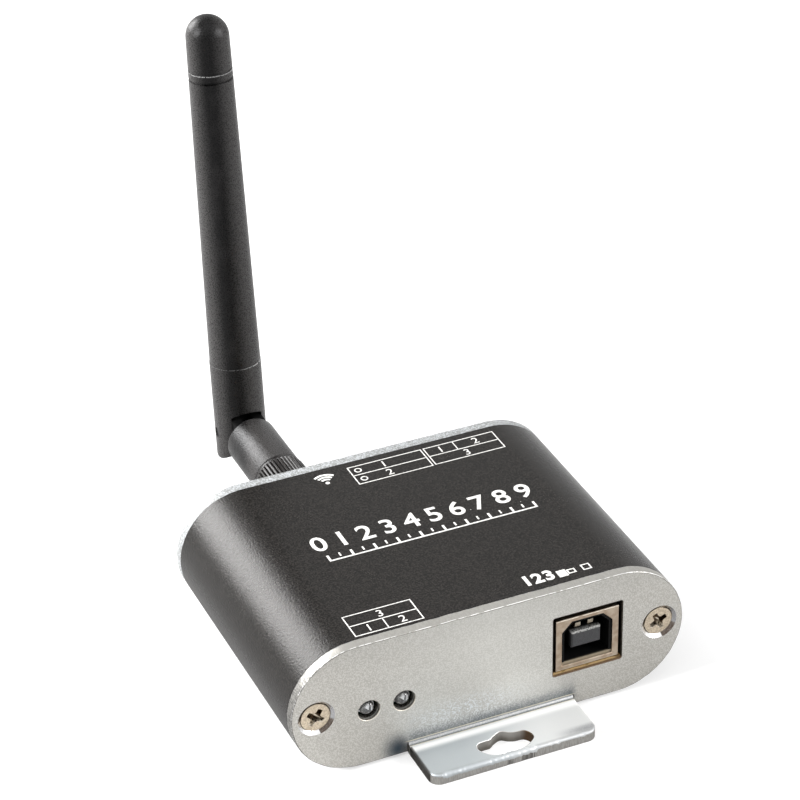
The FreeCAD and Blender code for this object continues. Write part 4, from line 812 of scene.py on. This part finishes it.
# Near white and not metallic, so that the cup and post show as glints: partly a painted highlight.
bright_frame = mottled("lamp_frame", (0.8, 0.82, 0.85), (0.97, 0.97, 0.96), 0.25, 0.2, 0.01)
for label, x in zip(("outer", "inner"), LAMP_X):
    cup = Skin()
    for outline in CUP_AND_POST:
        stamped = np.array(outline) + (x + 0.1, LAMP_Z - 0.05)
        sheet = rim(stamped, PLAIN_CUT, 0.18)
        sheet = np.stack([sheet[..., 0], sheet[..., 2] - 25.95, sheet[..., 1]], -1)
        cup.grid(sheet, True)
        cup.face(sheet[:, 0])
        cup.face(sheet[:, 1])
    # Painted highlight: a thin bright arc beside the cup in each lamp.
    turn = np.radians(np.linspace(-110.0, 60.0, 30))[:, None]
    wide = np.array([(1.12, -25.75), (1.3, -25.7), (1.3, -25.5), (1.12, -25.55)])
    shine = np.stack([x + wide[:, 0] * np.cos(turn), np.broadcast_to(wide[:, 1], (30, 4)),
                      LAMP_Z + wide[:, 0] * np.sin(turn)], -1)
    cup.grid(shine, False, True)
    cup.face(shine[0])
    cup.face(shine[-1])
    cup.piece(f"{label}_lamp_cup", "enclosure", "tin", [bright_frame])


# Keys, jack and its fixings
# Two plungers stand out of the rear plate. A gold-plated jack with a fine thread comes through it, fixed
# with a toothed washer and a hexagon nut.

key_plastic = mottled("switch_moulding", (0.014, 0.014, 0.015), (0.026, 0.026, 0.027), 0.4, 0.3, 0.012)
dress(key_plastic, 0, "reset_switch", "function_switch")
dress(key_plastic, 0.15, "reset_button", "function_button")
plated = mottled("plated_brass", (0.72, 0.5, 0.22), (0.86, 0.66, 0.36), 0.18, 0.5, 0.01, METAL, 4.0)
dress(plated, 0.12, "hexagon_nut", "lock_washer", "jack_contact", "plug_ferrule", "plug_pin")
white_plastic = mottled("white_insulator_plastic", (0.7, 0.69, 0.66), (0.8, 0.79, 0.77), 0.4, 0.4, 0.01)
dress(white_plastic, 0, "jack_insulator", "plug_insulator")


def full_turn(steps):
    """Even angles once round, as a column."""
    return np.linspace(0.0, 2 * np.pi, steps, endpoint=False)[:, None]


def swept(radius, level, turn):
    """Points at a radius and level for each turn t about an upright axis: r cos t, r sin t and the level."""
    x, y = radius * np.cos(turn), radius * np.sin(turn)
    return np.stack([x, y, np.broadcast_to(level, x.shape)], -1)


def turned_skin(skin, profile, place, steps, closed=False):
    """A profile of radius and level swept round, closed or ended at poles; place sets it in the model."""
    radius, level = np.asarray(profile, float).T
    skin.grid(place(swept(radius, level, full_turn(steps))), True, closed)


def along_jack(points):
    """From an upright axis to the jack's, which runs towards the rear."""
    return np.stack([points[..., 0] + AERIAL_X, points[..., 2], AERIAL_Z - points[..., 1]], -1)


JACK_RADIUS, JACK_PITCH, BLOCK_BACK, LEG = 3.17, 0.705, 23.5, 2.54


def jack():
    """The jack's thread, its radius less a triangle wave of y / pitch minus the turn, on a plain block."""
    skin = Skin()
    turn = full_turn(72)
    level = np.arange(26.5, 39.2, 0.07)
    wave = abs(((level / JACK_PITCH - turn / (2 * np.pi)) % 1.0) - 0.5) * 2
    fade = np.clip(np.minimum(level - 26.8, 38.9 - level) / 0.4, 0.0, 1.0)
    radius = JACK_RADIUS - 0.3 * np.clip(wave * 1.3 - 0.15, 0.0, 1.0) * fade - 0.3 * (level > 38.95)
    lead_in = [(2.87, 39.2), (2.8, 39.5), (2.15, 39.5), (2.05, 39.4), (2.05, 20.0), (0.0, 20.0)]
    skin.grid(along_jack(swept(radius, level, turn)), True)
    turned_skin(skin, lead_in, along_jack, 72)
    turned_skin(skin, [(JACK_RADIUS, 26.5), (JACK_RADIUS, BLOCK_BACK), (0.0, BLOCK_BACK)], along_jack, 72)
    low, high = np.array([AERIAL_X - 4.0, 16.5, 8.25]), np.array([AERIAL_X + 4.0, BLOCK_BACK, 16.8])
    corner = frame_line(low[:2] + 0.2, high[:2] - 0.2)
    corner = np.vstack([arc(*spot, 0.2, start, start + 90, 3)
                        for spot, start in zip(corner, (180, 270, 0, 90))])
    levels = np.array([(0.0, low[2]), (0.0, high[2] - 0.15), (0.15, high[2])])
    sides = corner[:, None, :] + inward(corner)[:, None, :] * levels[:, 0, None]
    block = np.concatenate([sides, np.broadcast_to(levels[:, 1], sides.shape[:2])[..., None]], -1)
    skin.grid(block, True)
    skin.face(block[:, 0])
    skin.face(block[:, -1])
    for x in (-LEG, LEG):
        for y in (-LEG, LEG):
            turned_skin(skin, [(0.0, 4.4), (0.4, 4.4), (0.5, 4.7), (0.5, 8.3), (0.0, 8.3)],
                        lambda points: points + (AERIAL_X + x, 20.0 + y, 0.0), 16)
    skin.piece("threaded_jack", "enclosure", "jack_brass", [plated], "aerial_jack")


jack()


# Knurled nut and elbow
# The coupling nut of black-plated brass has fine straight ribs rolled in it, with a painted highlight along
# their crests. The elbow is moulded in black plastic, with a tongue for the whip's hinge.

NUT_RADIUS = 5.05

nut_finish = Finish("black_plated_nut", {"Specular IOR Level": 0.2})
ribs = nut_finish.noise(0.3, 3.0, (1.0, 4.0, 1.0))
sideways, upwards = nut_finish.x - AERIAL_X, nut_finish.z - AERIAL_Z
reach = (sideways * sideways + upwards * upwards) / NUT_RADIUS ** 2
# Painted highlight along the ribs' crests.
crest_highlight = (reach + (ribs - 0.5) * 0.04).over(0.99, 1.008)
nut_finish.surface(nut_finish.blend(crest_highlight, (0.003, 0.002, 0.0018), (0.035, 0.032, 0.03)),
                   0.24 + 0.2 * ribs, ribs, 0.02)


def knurled_nut():
    """Rows of radius, level and rib depth carried round; the ribs are |sin| crests with narrow grooves."""
    skin = Skin()
    ribs_around, fine = 44, 10
    turn = full_turn(ribs_around * fine)
    groove = np.clip(1.0 - abs(np.sin(turn * ribs_around / 2)) * 1.25, 0.0, 1.0)
    rows = np.array([(3.22, 33.4, 0), (4.6, 33.4, 0), (4.78, 33.44, 0.1), (4.98, 33.7, 0.8),
                     *[(NUT_RADIUS, level, 1) for level in (33.9, 36.0, 38.5, 41.0, 42.45)],
                     (4.99, 42.6, 0.5), (4.86, 42.75, 0), (4.86, 43.15, 0), (4.8, 43.33, 0), (4.66, 43.4, 0),
                     (2.58, 43.4, 0), (2.58, 41.6, 0), (3.22, 41.6, 0)])
    radius = rows[:, 0] - 0.3 * groove * rows[:, 2]
    skin.grid(along_jack(swept(radius, rows[:, 1], turn)), True, True)
    skin.piece("knurled_nut", "enclosure", "nut_black", [nut_finish], "coupling_nut")


knurled_nut()

HINGE_Y, LEAN, SEAM, UPPER_GROOVE = 63.05, np.radians(5.0), 14.3, 72.85

aerial = Finish("aerial_plastic", {"Specular IOR Level": 0.17, "Specular Tint": (0.98, 0.98, 1.0)})
pores = aerial.noise(0.2, 1.0)
scuff = aerial.noise(2.4, 4.0, (1.0, 1.0, 2.5))
lint = aerial.specks(3.2, 0.09, 0.14)
x, y, z = aerial.x - AERIAL_X, aerial.y - HINGE_Y, aerial.z - AERIAL_Z
along = z * np.cos(LEAN) + y * np.sin(LEAN)
# Painted highlights: a light line at the seam, brighter to the right, and on the lower lip of the upper
# groove.
seam_highlight = along.near(SEAM - 0.04, 0.13) * (0.15 + x.over(-1.0, 3.5))
groove_and_seam_highlights = (along.near(UPPER_GROOVE - 0.3, 0.14) * 0.6).most(seam_highlight) * pores.over(0.3, 0.6)
# Painted sheen: the whip, foot and elbow are darker in the middle of their front-left face and lighter
# towards its flanks.
across = (x * 0.91 - (y - z * np.tan(LEAN)) * 0.4) / 4.5
painted_flank_sheen = abs(across).over(0.12, 0.75)
dark_grain_with_sheen = aerial.blend(painted_flank_sheen, (0.0005, 0.0005, 0.0005), (0.0285, 0.027, 0.0265))
light_grain_with_sheen = aerial.blend(painted_flank_sheen, (0.0058, 0.0054, 0.0052), (0.053, 0.051, 0.05))
plastic = aerial.blend(pores.over(0.4, 0.62), dark_grain_with_sheen, light_grain_with_sheen)
plastic = plastic.under(scuff.over(0.45, 0.75) * 0.25, (0.03, 0.028, 0.028))
plastic = plastic.under(lint * 0.5, (0.4, 0.39, 0.36))
aerial.surface(aerial.blend(groove_and_seam_highlights, plastic, (0.6, 0.6, 0.6)), 0.26 + 0.14 * pores.over(0.4, 0.62), pores, 0.05)
# Painted shade: the hinge's cheeks and disc are near black with little shine, for the shade in the whip's
# slot.
hinge_shade = mottled("hinge_painted_shade", (0.003, 0.003, 0.003), (0.006, 0.006, 0.006), 0.5, 0.3, 0.01,
                      {"Specular IOR Level": 0.05})

BARREL, BARREL_START, BARREL_END, CHEEK, GAP, TONGUE_END = 4.83, 43.45, 57.65, 2.98, 1.1, 3.9


def elbow():
    """A turned barrel with a stepped bore, two cheeks, each a bar with a half circle about the hinge, and a
    disc between them."""
    skin = Skin()
    shoulder = arc(BARREL - 0.5, BARREL_END - 0.5, 0.5, 0, 90, 6)
    foot = arc(BARREL - 0.25, BARREL_START + 0.25, 0.25, -90, 0, 4)
    step = BARREL_START + 6.0
    bore = [(GAP, BARREL_END), (GAP, step), (2.5, step), (2.5, BARREL_START)]
    turned_skin(skin, np.vstack([shoulder, bore, foot]), along_jack, 112, True)
    round_end = arc(HINGE_Y, AERIAL_Z, TONGUE_END, -90, 90, 32)
    root = BARREL_END - 0.4
    side = np.vstack([[(root, AERIAL_Z - TONGUE_END)], round_end, [(root, AERIAL_Z + TONGUE_END)]])
    pivot = circle(HINGE_Y, AERIAL_Z, 1.04, 24, -1)
    disc = circle(HINGE_Y, AERIAL_Z, TONGUE_END - 0.2, 48)
    walls = np.array([(0.1, 0, 0), (0.03, 0.03, 0), (0, 0.1, 0), (0, 0.1, 1), (0.03, 0.03, 1), (0.1, 0, 1)])
    cheek = ((side, walls), (pivot, walls * (0.5, 0.5, 1)))
    for low, high, lines in ((-CHEEK, -GAP, cheek), (GAP, CHEEK, cheek), (-GAP, GAP, ((disc, PLAIN_CUT),))):
        rims = [rim(line, profile, high - low) for line, profile in lines]
        rims = [np.stack([ring[..., 2] + low + AERIAL_X, ring[..., 0], ring[..., 1]], -1) for ring in rims]
        for ring in rims:
            skin.grid(ring, True, slot=1)
        for layer in (0, -1):
            skin.face(*[ring[:, layer] for ring in rims], slot=1)
    skin.piece("elbow_and_tongue", "aerial_foot", "aerial_black", [aerial, hinge_shade], "aerial_elbow")


elbow()
jacket = mottled("feed_cable_jacket", (0.11, 0.05, 0.022), (0.16, 0.075, 0.035), 0.35, 0.3, 0.01)
dress(jacket, 0, "elbow_cable", "whip_cable")


# Whip
# The whip turns on two pins in the fork of its foot. Over the foot's spigot slides a long tapered sleeve with
# a round tip and two fine grooves, moulded in the same black plastic; the radiator is a brass tube inside it.

TIP, SEAM_RADIUS, TIP_RADIUS = 78.93, 4.82, 3.97
GROOVES = ((71.15, 0.42, 0.27), (UPPER_GROOVE, 0.25, 0.2))


def leaned(points):
    """From an upright axis on the hinge to the whip's, leaned towards the rear."""
    x, y, level = np.moveaxis(points, -1, 0)
    return np.stack([x + AERIAL_X, y * np.cos(LEAN) + level * np.sin(LEAN) + HINGE_Y,
                     level * np.cos(LEAN) - y * np.sin(LEAN) + AERIAL_Z], -1)


def sleeve():
    """Radius over level: a straight taper, less a rounded groove at two levels, then a quarter circle."""
    skin = Skin()
    level = np.unique(np.concatenate([np.linspace(SEAM + 0.2, TIP, 34), np.linspace(70.7, 73.4, 82)]))
    radius = SEAM_RADIUS + (TIP_RADIUS - SEAM_RADIUS) * (level - SEAM) / (TIP - SEAM)
    for middle, depth, half in GROOVES:
        radius -= depth * np.clip(1.25 - (abs(level - middle) / half) ** 4, 0.0, 1.0)
    dome = np.radians(np.linspace(0.0, 90.0, 22))[1:]
    foot = [(3.5, 20.3), (3.5, SEAM), (SEAM_RADIUS - 0.16, SEAM), (SEAM_RADIUS - 0.05, SEAM + 0.05)]
    inside = [(0.0, TIP), (2.87, TIP), (2.87, 20.3)]
    outside = np.stack([radius, level], 1)
    tip = np.stack([TIP_RADIUS * np.cos(dome), TIP + TIP_RADIUS * np.sin(dome)], 1)
    turned_skin(skin, np.vstack([inside, foot, outside, tip]), leaned, 112)
    skin.piece("tapered_sleeve", "whip", "aerial_black", [aerial], "whip_sleeve")


sleeve()
dress(aerial, 0.22, "whip_base")
dress(key_plastic, 0.12, "hinge_pin_left", "hinge_pin_right")
dress(plated, 0, "whip_radiator")


# Studio
# A white floor and white surroundings, with four soft square lamps: behind on the left, at the left, in front
# on the right, and above.

FLOOR_HALF, FLOOR_LEVEL = 6.0, -0.00002
AIM = (0.0, 0.01, 0.02)

world = bpy.data.worlds.new("surroundings")
world.use_nodes = True
bpy.context.scene.world = world
tree = world.node_tree
background = tree.nodes["Background"]
background.inputs["Color"].default_value = (1.0, 1.0, 1.0, 1.0)
ray = tree.nodes.new("ShaderNodeLightPath")
seen = ray.outputs["Is Camera Ray"]
for way in ("Is Glossy Ray", "Is Transmission Ray"):
    either = tree.nodes.new("ShaderNodeMath")
    either.operation = "MAXIMUM"
    tree.links.new(seen, either.inputs[0])
    tree.links.new(ray.outputs[way], either.inputs[1])
    seen = either.outputs[0]
strength = tree.nodes.new("ShaderNodeMapRange")
strength.inputs["To Min"].default_value = 0.42
strength.inputs["To Max"].default_value = 1.0
tree.links.new(seen, strength.inputs["Value"])
tree.links.new(strength.outputs[0], background.inputs["Strength"])

paper = Finish("floor_paper", {"Roughness": 0.9, "Specular IOR Level": 0.1})
paper.use("Base Color", paper.blend(paper.noise(4.0), (0.52, 0.52, 0.52), (0.54, 0.54, 0.54)))
shown = paper.node("LightPath")[0]
paper.use("Emission Color", paper.blend(shown, (0.0, 0.0, 0.0), (1.0, 1.0, 1.0)))
paper.use("Emission Strength", 0.5)
corners = [(x * FLOOR_HALF, y * FLOOR_HALF, FLOOR_LEVEL) for x, y in ((-1, -1), (1, -1), (1, 1), (-1, 1))]
floor_mesh = bpy.data.meshes.new("floor")
floor_mesh.from_pydata(corners, [], [range(4)])
floor_mesh.materials.append(paper.material)
floor = bpy.data.objects.new("floor", floor_mesh)
bpy.context.collection.objects.link(floor)


def lamp(name, azimuth, rise, distance, size, power):
    """A soft square lamp aimed at the case: azimuth in degrees from the front, to the right."""
    turn, up = np.radians(azimuth), np.radians(rise)
    towards = np.array([np.sin(turn) * np.cos(up), -np.cos(turn) * np.cos(up), np.sin(up)])
    across = np.cross([0.0, 0.0, 1.0], towards)
    across /= np.linalg.norm(across)
    place = np.eye(4)
    place[:3, :3] = np.array([across, np.cross(towards, across), towards]).T
    place[:3, 3] = towards * distance + AIM
    light = bpy.data.lights.new(name, "AREA")
    light.size = size
    light.energy = power
    made = bpy.data.objects.new(name, light)
    made.matrix_world = Matrix(place.tolist())
    bpy.context.collection.objects.link(made)


lamp("lamp_back_left", -150.0, 24.5, 1.0, 0.55, 16.0)
lamp("lamp_left", -92.0, 31.0, 1.0, 0.28, 12.0)
lamp("lamp_right", 56.0, 26.0, 1.0, 0.28, 7.5)
lamp("lamp_above", -20.0, 75.0, 1.1, 0.7, 2.0)
